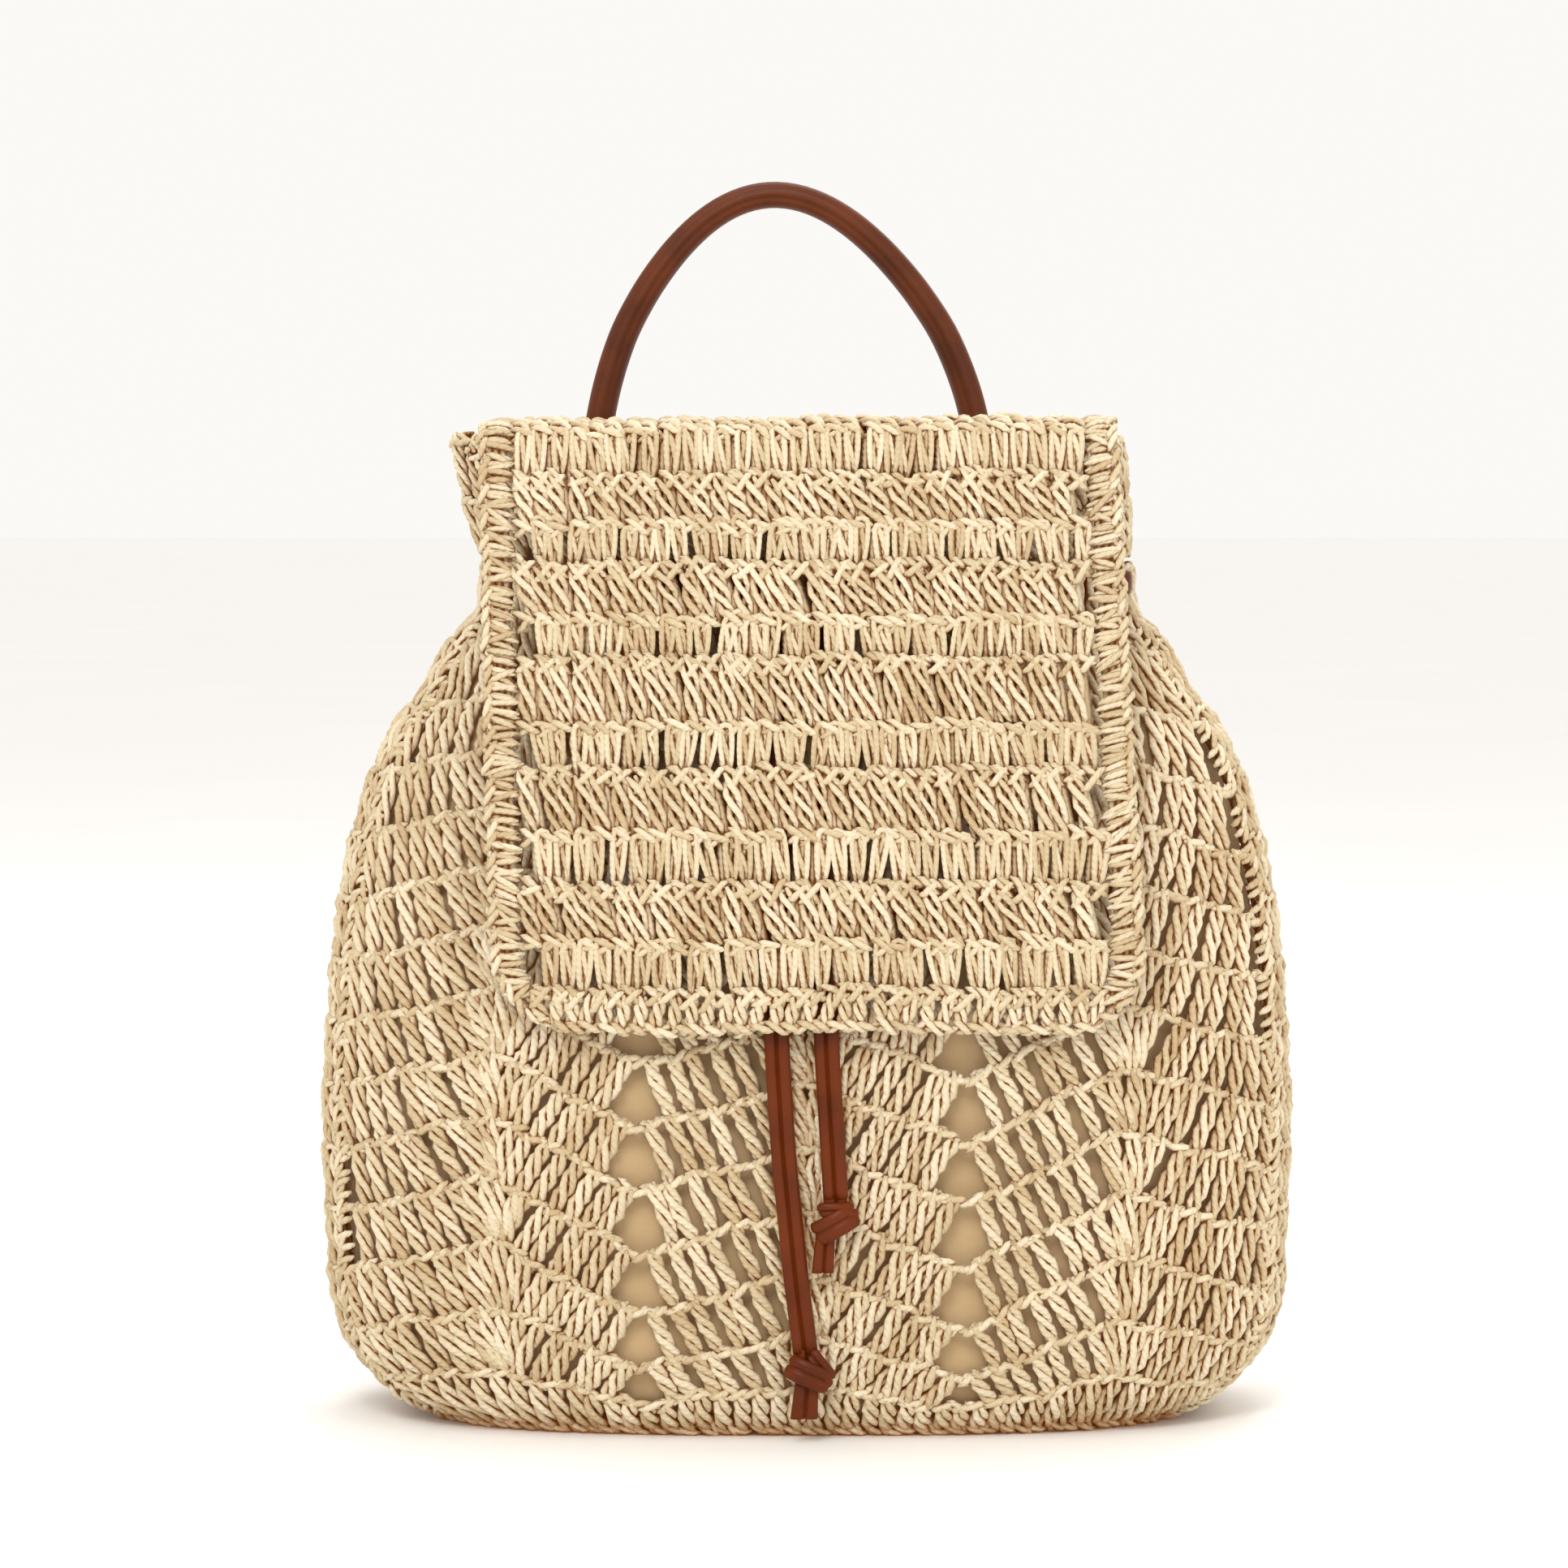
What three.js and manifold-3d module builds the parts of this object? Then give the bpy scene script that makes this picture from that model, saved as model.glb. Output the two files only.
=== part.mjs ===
// Crocheted straw backpack: a soft bag of ripple stitch with open columns over a cloth lining, a gathered
// neck under a large flap, a rolled leather handle, two leather drawstring tails and two shoulder straps.
// Millimetres, +Z up, front towards -Y, standing on its flat bottom at Z = 0.
import * as THREE from 'three';
import { mergeVertices } from 'three/addons/utils/BufferGeometryUtils.js';
import Module from 'manifold-3d';

const wasm = await Module();
wasm.setup();

// Driving sizes of the bag
const bodyWidth = 300;
const frontDepth = 64; // from the middle plane to the fullest point of the front
const backDepth = 57;
const neckHeight = 264; // where the drawstring gathers the bag
const squareness = 2.9; // 2 gives oval sections, more gives boxier ones
const wideCorner = 44; // rounding of the bottom corners seen from the front
const deepCorner = 14; // rounding of the bottom edge seen from the side
const wall = 4; // crochet of a 2 mm cord
const gap = 0.3; // between pieces that touch
const ridge = 0.9; // how far a row's ridge stands proud
const seamShare = 0.955; // where a panel meets the gusset, as a share of the half width

// Body sections from the bottom up, as shares of neckHeight, half bodyWidth, frontDepth and backDepth
const bodySections = [
  { height: 0, width: 0.99, front: 0.92, back: 0.97 },
  { height: 0.16, width: 0.99, front: 0.975, back: 1 },
  { height: 0.37, width: 1, front: 1, back: 1 },
  { height: 0.466, width: 0.99, front: 0.995, back: 0.99 },
  { height: 0.576, width: 0.973, front: 0.965, back: 0.965 },
  { height: 0.655, width: 0.949, front: 0.92, back: 0.93 },
  { height: 0.716, width: 0.92, front: 0.87, back: 0.89 },
  { height: 0.765, width: 0.89, front: 0.815, back: 0.85 },
  { height: 0.81, width: 0.847, front: 0.755, back: 0.8 },
  { height: 0.845, width: 0.8, front: 0.7, back: 0.755 },
  { height: 0.88, width: 0.765, front: 0.64, back: 0.71 },
  { height: 0.912, width: 0.73, front: 0.57, back: 0.645 },
  { height: 0.94, width: 0.684, front: 0.51, back: 0.59 },
  { height: 0.966, width: 0.674, front: 0.488, back: 0.565 },
  { height: 1, width: 0.672, front: 0.485, back: 0.56 },
];

// Ripple stitch of the panels
const ripplePitch = 19; // height of one row
const rippleRise = 18; // how much higher a row runs at a fan than at an open column
const fanShare = 0.64; // outer fans, as a share of the half width; one more runs up the middle
const ridgePart = 0.34; // part of a row taken up by its ridge
const neckBand = 14; // straight band that the drawstring gathers
const closedTopLines = 5; // row lines at the top between which no column is open
// Grid lines from the middle out to the seam, as shares of the half width, and whether the column is open
const panelColumns = [
  { share: 0.28 },
  { share: 0.36, open: true },
  { share: fanShare },
  { share: 0.76 },
  { share: 0.865 },
  { share: 0.922, open: true },
  { share: seamShare },
];

// Ruffled collar above the neck
const collarHeight = 31; // under the flap
const collarEnds = 8; // how much higher it stands at the two sides
const collarFlare = 6;
const collarWaves = 18;
const collarWave = 2.6;
const collarWall = 3;
const collarKeeps = 0.95; // its top edge's width as a share of what it flares to
const collarLean = -6; // its top edge leans to one side

// Cloth lining
const liningWall = 1.2;
const liningEase = 2; // room between the lining and the crochet
const liningSlack = 3; // more room at the sides

// Flap over the mouth
const flapTopWidth = 192;
const flapHemWidth = 195;
const flapWall = 4.2;
const flapTop = neckHeight + 44; // outside of the fold
const flapHem = 126; // lowest edge at the front
const flapBackHem = neckHeight - 32; // where it is sewn to the back panel
const flapPitch = 16.4; // height of one row
const flapCorner = 24;
const flapBorder = 10;
const flapEndGap = 4.6; // width of the openings at the row ends
const foldRadius = 9;
const flapTopShift = -3; // the flap hangs a little askew
const flapHemShift = 3.5;
const flapCurl = 5; // how far the side edges of the hem bend back

// Leather drawstring
const stringWidth = 7.5;
const stringThick = 4;
const stringDrop = 5; // loop's middle below the top of the neck
const knotWide = 15;
const knotThick = 10;

// Rolled leather handle
const handleThick = 8.4;
const handleRise = 72; // middle of the apex above the flap's top
const handleFeet = 120; // between the feet at the flap's top
const handleShift = -6;
const handleLean = -4; // the apex stands to one side of the middle of the feet
const handleFoot = neckHeight - 60; // height of the sewn ends
const handleSpread = 2.8; // how much further out each sewn end stands than its foot
const handleTab = { width: 17, height: 34, thick: 2.2 };

// Shoulder straps
const strapWidth = 16;
const strapThick = 2.6;
const leatherCorner = 4; // cut off the corners of the sewn leather pieces
const topPatch = { width: 66, height: 28, thick: 2.4, foot: 0.755 };
const slider = { rail: 3, depth: 2.4, share: 0.68 };
// Middle line of a strap: share of half bodyWidth, distance behind the back panel's middle, share of
// neckHeight and the degrees that its face turns outwards
const strapRoute = [
  { across: 0.12, behind: 3.1, height: 0.86, turn: 0 },
  { across: 0.15, behind: 3.2, height: 0.735, turn: 0 },
  { across: 0.24, behind: 7, height: 0.69, turn: 2 },
  { across: 0.41, behind: 12, height: 0.57, turn: 5 },
  { across: 0.61, behind: 13, height: 0.45, turn: 10 },
  { across: 0.79, behind: 10.5, height: 0.345, turn: 18 },
  { across: 0.92, behind: 5, height: 0.255, turn: 30 },
  { across: 0.985, behind: -4, height: 0.185, turn: 60 },
  { across: 0.985, behind: -14.5, height: 0.147, turn: 100 },
  { across: 0.936, behind: -24.8, height: 0.142, turn: 128 },
];

// Middle lines of the hanging drawstring tails, chosen by hand: x, y, z
const leftTail = [
  [-5, -35.7, 252],
  [-5.3, -39.7, 242],
  [-6, -45.7, 230],
  [-6.8, -52, 214],
  [-7.6, -56.4, 200],
  [-8.4, -60.9, 182],
  [-8.9, -64.5, 160],
  [-9.2, -66.5, 140],
  [-9.2, -67.5, 122],
  [-8.2, -67.8, 104],
  [-7, -67.6, 86],
  [-5.2, -67.2, 68],
  [-3.4, -66.6, 50],
  [-1.9, -66.3, 38],
  [-0.6, -66.4, 27.9],
];
const rightTail = [
  [5, -35.7, 252],
  [5.2, -39.7, 242],
  [5.3, -45.7, 230],
  [5.3, -52, 214],
  [5.2, -56.4, 200],
  [5.2, -60.9, 182],
  [5.2, -64.5, 160],
  [5.4, -66.5, 140],
  [5.6, -67.5, 122],
  [6.6, -67.8, 104],
  [7.6, -67.8, 88],
  [8.4, -68, 74.6],
];
const leftKnot = {
  at: [0.2, -67.2, 21.8],
  lean: -24,
  stub: { at: [-0.8, -66.8, 9.6], width: 8.4, drop: 11 },
};
const rightKnot = {
  at: [8, -69.8, 67.6],
  lean: 28,
  stub: { at: [4.6, -69, 55.4], width: 6.4, drop: 14 },
};

const halfWidth = bodyWidth / 2;
const wallEase = 0.01; // keeps a cut from ending exactly on a face

// Colours and finishes seen in the photograph
const straw = { color: '#d9c596', roughness: 0.75, metalness: 0 };
const cloth = { color: '#cfb98a', roughness: 0.9, metalness: 0 };
const leather = { color: '#7b3a20', roughness: 0.45, metalness: 0 };
const darkLeather = { color: '#5d2b1b', roughness: 0.5, metalness: 0 };
const nickel = { color: '#b9b6ae', roughness: 0.3, metalness: 1 };

// A smooth value from a table's column at a height that is a share of the table's own
function along(table, key, height) {
  const last = table.length - 2;
  const found = table.findIndex((row) => row.height > height) - 1;
  const i = found < 0 ? last : found;
  const [a, b] = [table[i], table[i + 1]];
  const slope = (from, to) => (to[key] - from[key]) / (to.height - from.height);
  const middle = slope(a, b);
  const before = i > 0 ? (slope(table[i - 1], a) + middle) / 2 : middle;
  const after = i < last ? (middle + slope(b, table[i + 2])) / 2 : middle;
  const span = b.height - a.height;
  const t = Math.min(Math.max((height - a.height) / span, 0), 1);
  const rise = a[key] + (b[key] - a[key]) * t * t * (3 - 2 * t);
  return rise + span * t * (1 - t) * (before * (1 - t) - after * t);
}

const bodyFront = (z) => frontDepth * along(bodySections, 'front', z / neckHeight);
const bodyBack = (z) => backDepth * along(bodySections, 'back', z / neckHeight);
const bodySide = (z) => halfWidth * along(bodySections, 'width', z / neckHeight);

// How far a rounded bottom edge has drawn in at height z, for a wall lifted off the body by lift
function drawnIn(z, radius, lift) {
  const r = radius + lift;
  return z < radius ? r - Math.sqrt(Math.max(r * r - (radius - z) ** 2, 0)) : 0;
}

const signedPower = (value) => Math.sign(value) * Math.abs(value) ** (2 / squareness);

// A point of the body at an angle round the vertical axis (0 is +X, negative angles are the front)
function bodyPoint(angle, z, lift = 0) {
  const deep = Math.sin(angle) < 0 ? bodyFront(z) : bodyBack(z);
  const wide = bodySide(z) + lift - drawnIn(z, wideCorner, lift);
  const reach = deep + lift - drawnIn(z, deepCorner, lift);
  return new THREE.Vector3(wide * signedPower(Math.cos(angle)), reach * signedPower(Math.sin(angle)), z);
}

// The same on the inside of a wall, whose height closes in above the bottom
function insidePoint(angle, z, depth) {
  const low = z < deepCorner ? deepCorner - ((deepCorner - depth) * (deepCorner - z)) / deepCorner : z;
  return bodyPoint(angle, low, -depth);
}

// The angle at which the body lies at a share of its half width, on the +X side
const angleAt = (share) => Math.acos(Math.abs(share) ** (squareness / 2));
const seamAngle = angleAt(seamShare);

// A closed sheet over a grid. place(u, v, inside) gives a point and open(column, row) is true where the
// sheet is cut through. Seen from outside, u runs to the right and v runs up.
function sheet({ columns, rows, place, open = () => false, wrapped = false }) {
  const across = wrapped ? columns.length : columns.length - 1;
  const points = [false, true].flatMap((inside) =>
    rows.flatMap((v) => columns.flatMap((u) => place(u, v, inside).toArray())),
  );
  const layer = rows.length * columns.length;
  const vertex = (c, r) => r * columns.length + (c % columns.length);
  const outside = (c, r) => r < 0 || r >= rows.length - 1 || (!wrapped && (c < 0 || c >= across));
  const empty = (c, r) => outside(c, r) || open((c + across) % across, r);
  const faces = [];
  const quad = (a, b, c, d) => faces.push(a, b, c, a, c, d);
  for (let r = 0; r < rows.length - 1; r += 1) {
    for (let c = 0; c < across; c += 1) {
      if (empty(c, r)) continue;
      const corners = [vertex(c, r), vertex(c + 1, r), vertex(c + 1, r + 1), vertex(c, r + 1)];
      const beside = [[c, r - 1], [c + 1, r], [c, r + 1], [c - 1, r]];
      const back = corners.map((corner) => corner + layer);
      quad(...corners);
      quad(back[0], back[3], back[2], back[1]);
      beside.forEach(([nextColumn, nextRow], side) => {
        const end = (side + 1) % 4;
        if (empty(nextColumn, nextRow)) quad(corners[end], corners[side], back[side], back[end]);
      });
    }
  }
  const geometry = new THREE.BufferGeometry();
  geometry.setAttribute('position', new THREE.Float32BufferAttribute(points, 3));
  geometry.setIndex(faces);
  return geometry;
}

// A closed solid through rings of points, counter-clockwise from above, from the bottom up
function ringSolid(rings) {
  const count = rings[0].length;
  const middle = (ring) => ring.reduce((sum, p) => sum.add(p), new THREE.Vector3()).divideScalar(count);
  const points = [...rings.flat(), middle(rings[0]), middle(rings.at(-1))];
  const faces = [];
  for (let i = 0; i < count; i += 1) {
    const j = (i + 1) % count;
    const top = (rings.length - 1) * count;
    for (let k = 0; k < rings.length - 1; k += 1) {
      const [a, b] = [k * count, (k + 1) * count];
      faces.push(a + i, a + j, b + j, a + i, b + j, b + i);
    }
    faces.push(points.length - 2, j, i, points.length - 1, top + i, top + j);
  }
  const geometry = new THREE.BufferGeometry();
  const numbers = points.flatMap((p) => p.toArray());
  geometry.setAttribute('position', new THREE.Float32BufferAttribute(numbers, 3));
  geometry.setIndex(faces);
  return geometry;
}

function solidFrom(geometry) {
  const bare = geometry.clone();
  bare.deleteAttribute('normal');
  bare.deleteAttribute('uv');
  const merged = mergeVertices(bare, 1e-4);
  return new wasm.Manifold(new wasm.Mesh({
    numProp: 3,
    vertProperties: new Float32Array(merged.attributes.position.array),
    triVerts: new Uint32Array(merged.index.array),
  }));
}

function geometryFrom(solid) {
  const mesh = solid.getMesh();
  const geometry = new THREE.BufferGeometry();
  geometry.setAttribute('position', new THREE.Float32BufferAttribute(mesh.vertProperties, 3));
  geometry.setIndex(Array.from(mesh.triVerts));
  return geometry;
}

const steps = (count, from = 0, to = 1) =>
  Array.from({ length: count + 1 }, (_, i) => from + ((to - from) * i) / count);

const bag = new THREE.Group();
const cordNames = ['drawstring_tail_left', 'drawstring_tail_right', 'knot_left', 'knot_right'];

function add(name, geometry, finish) {
  const material = new THREE.MeshStandardMaterial({ ...finish, side: THREE.FrontSide });
  const mesh = new THREE.Mesh(geometry, material);
  mesh.name = name;
  bag.add(mesh);
}

// Front and back panels

// 1 at a fan and 0 at an open column
function rippleHeight(share) {
  const phase = (Math.abs(share) / fanShare) % 1;
  return Math.abs(phase - 0.5) * 2;
}

// Height of a row line at a share of the half width: straight at the bottom and at the neck
function rowHeight(share, level) {
  const free = Math.min(level / (2.4 * ripplePitch), (neckHeight - level) / (2.4 * ripplePitch), 1);
  return level + rippleRise * free * (rippleHeight(share) - 0.5);
}

const rowCount = Math.floor(neckHeight / ripplePitch);
const rowStart = (neckHeight - rowCount * ripplePitch) / 2;
const panelRows = [
  { level: 0, lift: 0 },
  ...steps(rowCount - 1).flatMap((share) => {
    const level = rowStart + share * (rowCount - 1) * ripplePitch;
    return [
      { level, lift: ridge },
      { level: level + ridgePart * ripplePitch, lift: 0 },
    ];
  }),
  { level: neckHeight - neckBand, lift: 0 },
  { level: neckHeight - neckBand / 2, lift: 0 },
  { level: neckHeight, lift: 0 },
];

function panel(sideSign) {
  const right = panelColumns.map(({ share, open }) => ({ share, open }));
  const left = panelColumns.map(({ share, open }) => ({ share: -share, open })).reverse();
  const lines = [...left, { share: 0 }, ...right];
  const openColumn = lines.slice(1).map((line, i) => (line.share > 0 ? line.open : lines[i].open));
  const seamEase = gap / bodyFront(neckHeight);
  const lastOpenRow = panelRows.length - closedTopLines;
  return sheet({
    columns: lines.map((line) => line.share * sideSign),
    rows: panelRows,
    place: (share, row, inside) => {
      const fromSide = Math.max(angleAt(share), seamAngle + seamEase);
      const angle = -sideSign * (share < 0 ? Math.PI - fromSide : fromSide);
      const z = rowHeight(share, row.level);
      return inside ? insidePoint(angle, z, wall) : bodyPoint(angle, z, row.lift);
    },
    open: (column, row) => openColumn[column] && row % 2 === 0 && row > 0 && row < lastOpenRow,
  });
}

add('front_panel', panel(1), straw);
add('back_panel', panel(-1), straw);

// Gusset: one strip down a side, across the bottom and up the other side

function gusset() {
  const sideRows = panelRows.map(({ level }) => rowHeight(seamShare, level)).reverse();
  const bottomRight = panelColumns.map(({ share }) => angleAt(share)).reverse();
  const bottomLeft = bottomRight.map((angle) => Math.PI - angle).reverse();
  const bottomRows = [...bottomRight, Math.PI / 2, ...bottomLeft].map((angle) => ({ angle }));
  const rows = [
    ...sideRows.map((z) => ({ z, middle: 0, turn: 1 })),
    ...bottomRows,
    ...sideRows.toReversed().map((z) => ({ z, middle: Math.PI, turn: -1 })),
  ];
  const place = (across, row, inside) => {
    if (row.angle === undefined) {
      const angle = row.middle + row.turn * across * seamAngle;
      return inside ? insidePoint(angle, row.z, wall) : bodyPoint(angle, row.z);
    }
    const [front, back] = [bodyPoint(-row.angle, 0), bodyPoint(row.angle, 0)];
    front.y += gap;
    back.y -= gap;
    return front.lerp(back, (across + 1) / 2).setZ(inside ? wall : 0);
  };
  return sheet({ columns: steps(4, -1, 1).map((u) => -u), rows, place });
}

add('gusset', gusset(), straw);

// Cloth lining: a thin bag inside the crochet, open at the neck

function lining() {
  const sides = 24;
  const around = steps(sides - 1, 0, Math.PI * 2 * (1 - 1 / sides));
  const kept = bodySections.slice(1, -1).filter((_, i) => i % 2 === 0 || i > 8);
  const heights = (from, to) => [
    from,
    from + (deepCorner - from) * 0.3,
    deepCorner,
    ...kept.map(({ height }) => height * neckHeight),
    to,
  ];
  const ring = (z, depth, slack) => around.map((angle) => {
    const point = bodyPoint(angle, z, -depth);
    point.x *= 1 - slack / halfWidth;
    return point;
  });
  const outer = wall + liningEase;
  const inner = outer + liningWall;
  const top = neckHeight - gap;
  const skin = heights(outer, top).map((z) => ring(z, outer, liningSlack));
  const room = heights(inner, top).map((z) => ring(z, inner, liningSlack));
  const above = room.at(-1).map((point) => point.clone().setZ(top + wallEase + liningWall));
  return geometryFrom(solidFrom(ringSolid(skin)).subtract(solidFrom(ringSolid([...room, above]))));
}

add('lining', lining(), cloth);

// Collar: the gathered and ruffled edge above the drawstring

function collar() {
  const columns = steps(collarWaves * 4 - 1, 0, Math.PI * 2 * (1 - 1 / (collarWaves * 4)));
  const place = (angle, share, inside) => {
    const flare = collarFlare * Math.sin((share * Math.PI) / 2);
    const wave = collarWave * Math.sin(angle * collarWaves) * share;
    const lift = flare + wave - (inside ? collarWall : 0);
    const point = bodyPoint(angle, neckHeight, lift);
    point.x = point.x * (1 + (collarKeeps - 1) * share) + collarLean * share;
    const height = collarHeight + collarEnds * Math.cos(angle) ** 6;
    return point.setZ(neckHeight + gap + share * (height - gap));
  };
  return sheet({ columns, rows: steps(2), place, wrapped: true });
}

add('collar', collar(), straw);

// Flap: its side profile is a sheet drawn taut over the front, the collar and the back

// The convex outline of points given as [y, z], from the front hem over the top to the back hem
function taut(points) {
  const hull = [];
  const bends = ([ay, az], [by, bz], [cy, cz]) => (by - ay) * (cz - az) - (bz - az) * (cy - ay);
  points.forEach((point) => {
    while (hull.length > 1 && bends(hull.at(-2), hull.at(-1), point) >= 0) hull.pop();
    hull.push(point);
  });
  return hull;
}

const flapRest = ridge + stringThick + gap * 5; // the drawstring tails lie under the flap
const flapInsideTop = flapTop - flapWall - ridge;
const collarReach = collarFlare + collarWave + gap * 4;

function flapProfile() {
  const front = steps(24, flapHem, neckHeight).map((z) => [-(bodyFront(z) + flapRest), z]);
  const fold = (y, from, to) => steps(6, from, to).map((angle) => [
    y + foldRadius * Math.cos(angle),
    flapInsideTop - foldRadius + foldRadius * Math.sin(angle),
  ]);
  const frontFold = fold(-(bodyFront(neckHeight) + collarReach) + foldRadius, Math.PI, Math.PI / 2);
  const backFold = fold(bodyBack(neckHeight) + collarReach - foldRadius, Math.PI / 2, 0);
  const back = steps(4, neckHeight, flapBackHem).map((z) => [bodyBack(z) + ridge + gap, z]);
  const outline = taut([...front, ...frontFold, ...backFold, ...back]);
  const points = outline.map(([y, z]) => new THREE.Vector3(0, y, z));
  return new THREE.CatmullRomCurve3(points, false, 'centripetal');
}

function flap() {
  const profile = flapProfile();
  profile.arcLengthDivisions = 600;
  const length = profile.getLength();
  const rowsOnFlap = Math.round((length - 2 * flapBorder) / flapPitch);
  const pitch = (length - 2 * flapBorder) / rowsOnFlap;
  const rows = [
    { at: 0, lift: 0 },
    { at: flapCorner * 0.08, lift: 0 },
    { at: flapCorner * 0.25, lift: 0 },
    ...steps(rowsOnFlap).flatMap((share) => {
      const at = flapBorder + share * rowsOnFlap * pitch;
      return [{ at, lift: ridge }, { at: at + pitch * 0.4, lift: 0 }];
    }).slice(0, -1),
    { at: length, lift: 0 },
  ];
  const firstRow = 3;
  const edge = 1 - (2 * flapBorder) / flapTopWidth;
  const endGap = edge - (2 * flapEndGap) / flapTopWidth;
  const columns = [-1, -edge, -endGap, -0.45, 0, 0.45, endGap, edge, 1];
  const frontLength = flapTop - flapHem;
  const place = (u, row, inside) => {
    const point = profile.getPointAt(row.at / length);
    const tangent = profile.getTangentAt(row.at / length);
    const outward = new THREE.Vector3(0, -tangent.z, tangent.y);
    const down = Math.min(Math.max(1 - row.at / frontLength, 0), 1);
    const fullWidth = flapTopWidth + (flapHemWidth - flapTopWidth) * down;
    const rounding = row.at < flapCorner
      ? flapCorner - Math.sqrt(flapCorner ** 2 - (flapCorner - row.at) ** 2)
      : 0;
    const middle = flapTopShift + (flapHemShift - flapTopShift) * down;
    point.x = middle + u * (fullWidth / 2 - rounding);
    point.y += flapCurl * u * u * down;
    return point.addScaledVector(outward, inside ? 0 : flapWall + row.lift);
  };
  const atEnd = (column) => column === 1 || column === columns.length - 3;
  const open = (column, row) => atEnd(column) && row >= firstRow && (row - firstRow) % 4 === 1;
  return sheet({ columns, rows, place, open });
}

add('flap', flap(), straw);

// Drawstring: held round the neck, with its two ends coming out at the middle of the front

function ovalShape(width, thick, sides) {
  const shape = new THREE.Shape();
  steps(sides - 1, 0, Math.PI * 2 * (1 - 1 / sides)).forEach((angle, i) => {
    const [x, y] = [(width / 2) * Math.cos(angle), (thick / 2) * Math.sin(angle)];
    if (i) shape.lineTo(x, y);
    else shape.moveTo(x, y);
  });
  return shape;
}

function tube(points, shape, stepCount) {
  const route = points.map((p) => (Array.isArray(p) ? new THREE.Vector3(...p) : p));
  const extrudePath = new THREE.CatmullRomCurve3(route, false, 'centripetal');
  return new THREE.ExtrudeGeometry(shape, { steps: stepCount, bevelEnabled: false, extrudePath });
}

function drawstringLoop() {
  const z = neckHeight - stringDrop;
  const lift = gap * 5 + ridge + stringThick / 2;
  const mouth = 0.085; // half the opening at the front, in radians
  const round = steps(36, -Math.PI / 2 + mouth * 2, Math.PI * 1.5 - mouth * 2).map((angle) =>
    bodyPoint(angle, z, lift),
  );
  const drop = (sign) => {
    const x = sign * rightTail[0][0];
    const top = bodyPoint(-Math.PI / 2, z, lift);
    return [
      new THREE.Vector3(x * 1.15, top.y - gap, z - stringThick * 0.6),
      new THREE.Vector3(x, rightTail[0][1], rightTail[0][2] + gap * 4),
    ];
  };
  return tube([...drop(1).reverse(), ...round, ...drop(-1)], ovalShape(stringThick, stringWidth, 8), 40);
}

add('drawstring_loop', drawstringLoop(), leather);

add('drawstring_tail_left', tube(leftTail, ovalShape(stringWidth, stringThick, 8), 16), leather);
add('drawstring_tail_right', tube(rightTail, ovalShape(stringWidth, stringThick, 8), 12), leather);

// A pulled overhand knot: a slanting wrapped band, with the cut end of the strip below it
function knot({ at, lean, stub }) {
  const band = new THREE.SphereGeometry(knotWide / 2, 12, 7);
  band.scale(1, knotThick / knotWide, 0.72);
  band.rotateY(THREE.MathUtils.degToRad(-lean));
  band.translate(...at);
  const end = new THREE.BoxGeometry(stub.width, stringThick * 0.8, stub.drop + knotWide / 4);
  end.translate(stub.at[0], stub.at[1], stub.at[2] + knotWide / 4);
  return geometryFrom(solidFrom(band).add(solidFrom(end)));
}

add('knot_left', knot(leftKnot), leather);
add('knot_right', knot(rightKnot), leather);

// Leather pieces sewn to the back panel

// A flat piece that follows the back panel, between lift and lift + thick
function sewnPiece({ x, z, width, height, thick, lift, corner = leatherCorner }) {
  const rows = [0, 0.12, 0.5, 0.88, 1];
  const place = (u, v, inside) => {
    const narrowed = v === 0 || v === 1 ? corner : 0;
    const across = x + u * (width / 2 - narrowed);
    const level = z + v * height;
    const off = inside ? lift : lift + thick;
    const share = across / (bodySide(level) + off);
    const fromSide = angleAt(share);
    return bodyPoint(share < 0 ? Math.PI - fromSide : fromSide, level, off);
  };
  return sheet({ columns: [1, 0.5, 0, -0.5, -1], rows, place });
}

const onBack = ridge + gap;

// Rolled handle

const flapBackOut = flapWall + ridge
  + Math.max(bodyBack(neckHeight) + collarReach, bodyBack(flapBackHem) + ridge + gap);
const handleY = flapBackOut + gap * 2 + handleThick / 2;
const tabOut = (z) => bodyBack(z) + onBack + handleTab.thick;

function handle() {
  const half = handleFeet / 2;
  const arch = steps(16, -1, 1).map((u) => {
    const rise = handleRise * (1 - 0.82 * u ** 2 - 0.18 * u ** 14);
    const x = handleShift + half * u + handleLean * (1 - u ** 2);
    return new THREE.Vector3(x, handleY, flapTop + rise);
  });
  const foot = (sign) => [
    new THREE.Vector3(handleShift + sign * (half + 2.4), handleY, (flapTop + flapBackHem) / 2),
    new THREE.Vector3(handleShift + sign * (half + handleSpread), handleY, flapBackHem - handleThick / 2),
    new THREE.Vector3(
      handleShift + sign * (half + handleSpread),
      Math.max(tabOut(handleFoot) + gap * 2 + handleThick / 2, handleY - 1),
      handleFoot,
    ),
  ];
  const route = [...foot(-1).reverse(), ...arch, ...foot(1)];
  return tube(route, ovalShape(handleThick, handleThick, 10), 32);
}

add('handle', handle(), leather);
[['left', -1], ['right', 1]].forEach(([side, sign]) => {
  const x = handleShift + sign * (handleFeet / 2 + handleSpread);
  const z = handleFoot - handleTab.height * 0.35;
  add(`handle_tab_${side}`, sewnPiece({ ...handleTab, x, z, lift: onBack }), leather);
});

// Shoulder straps, each with an adjusting slider, sewn under a patch at the top and at the lower corners

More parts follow.
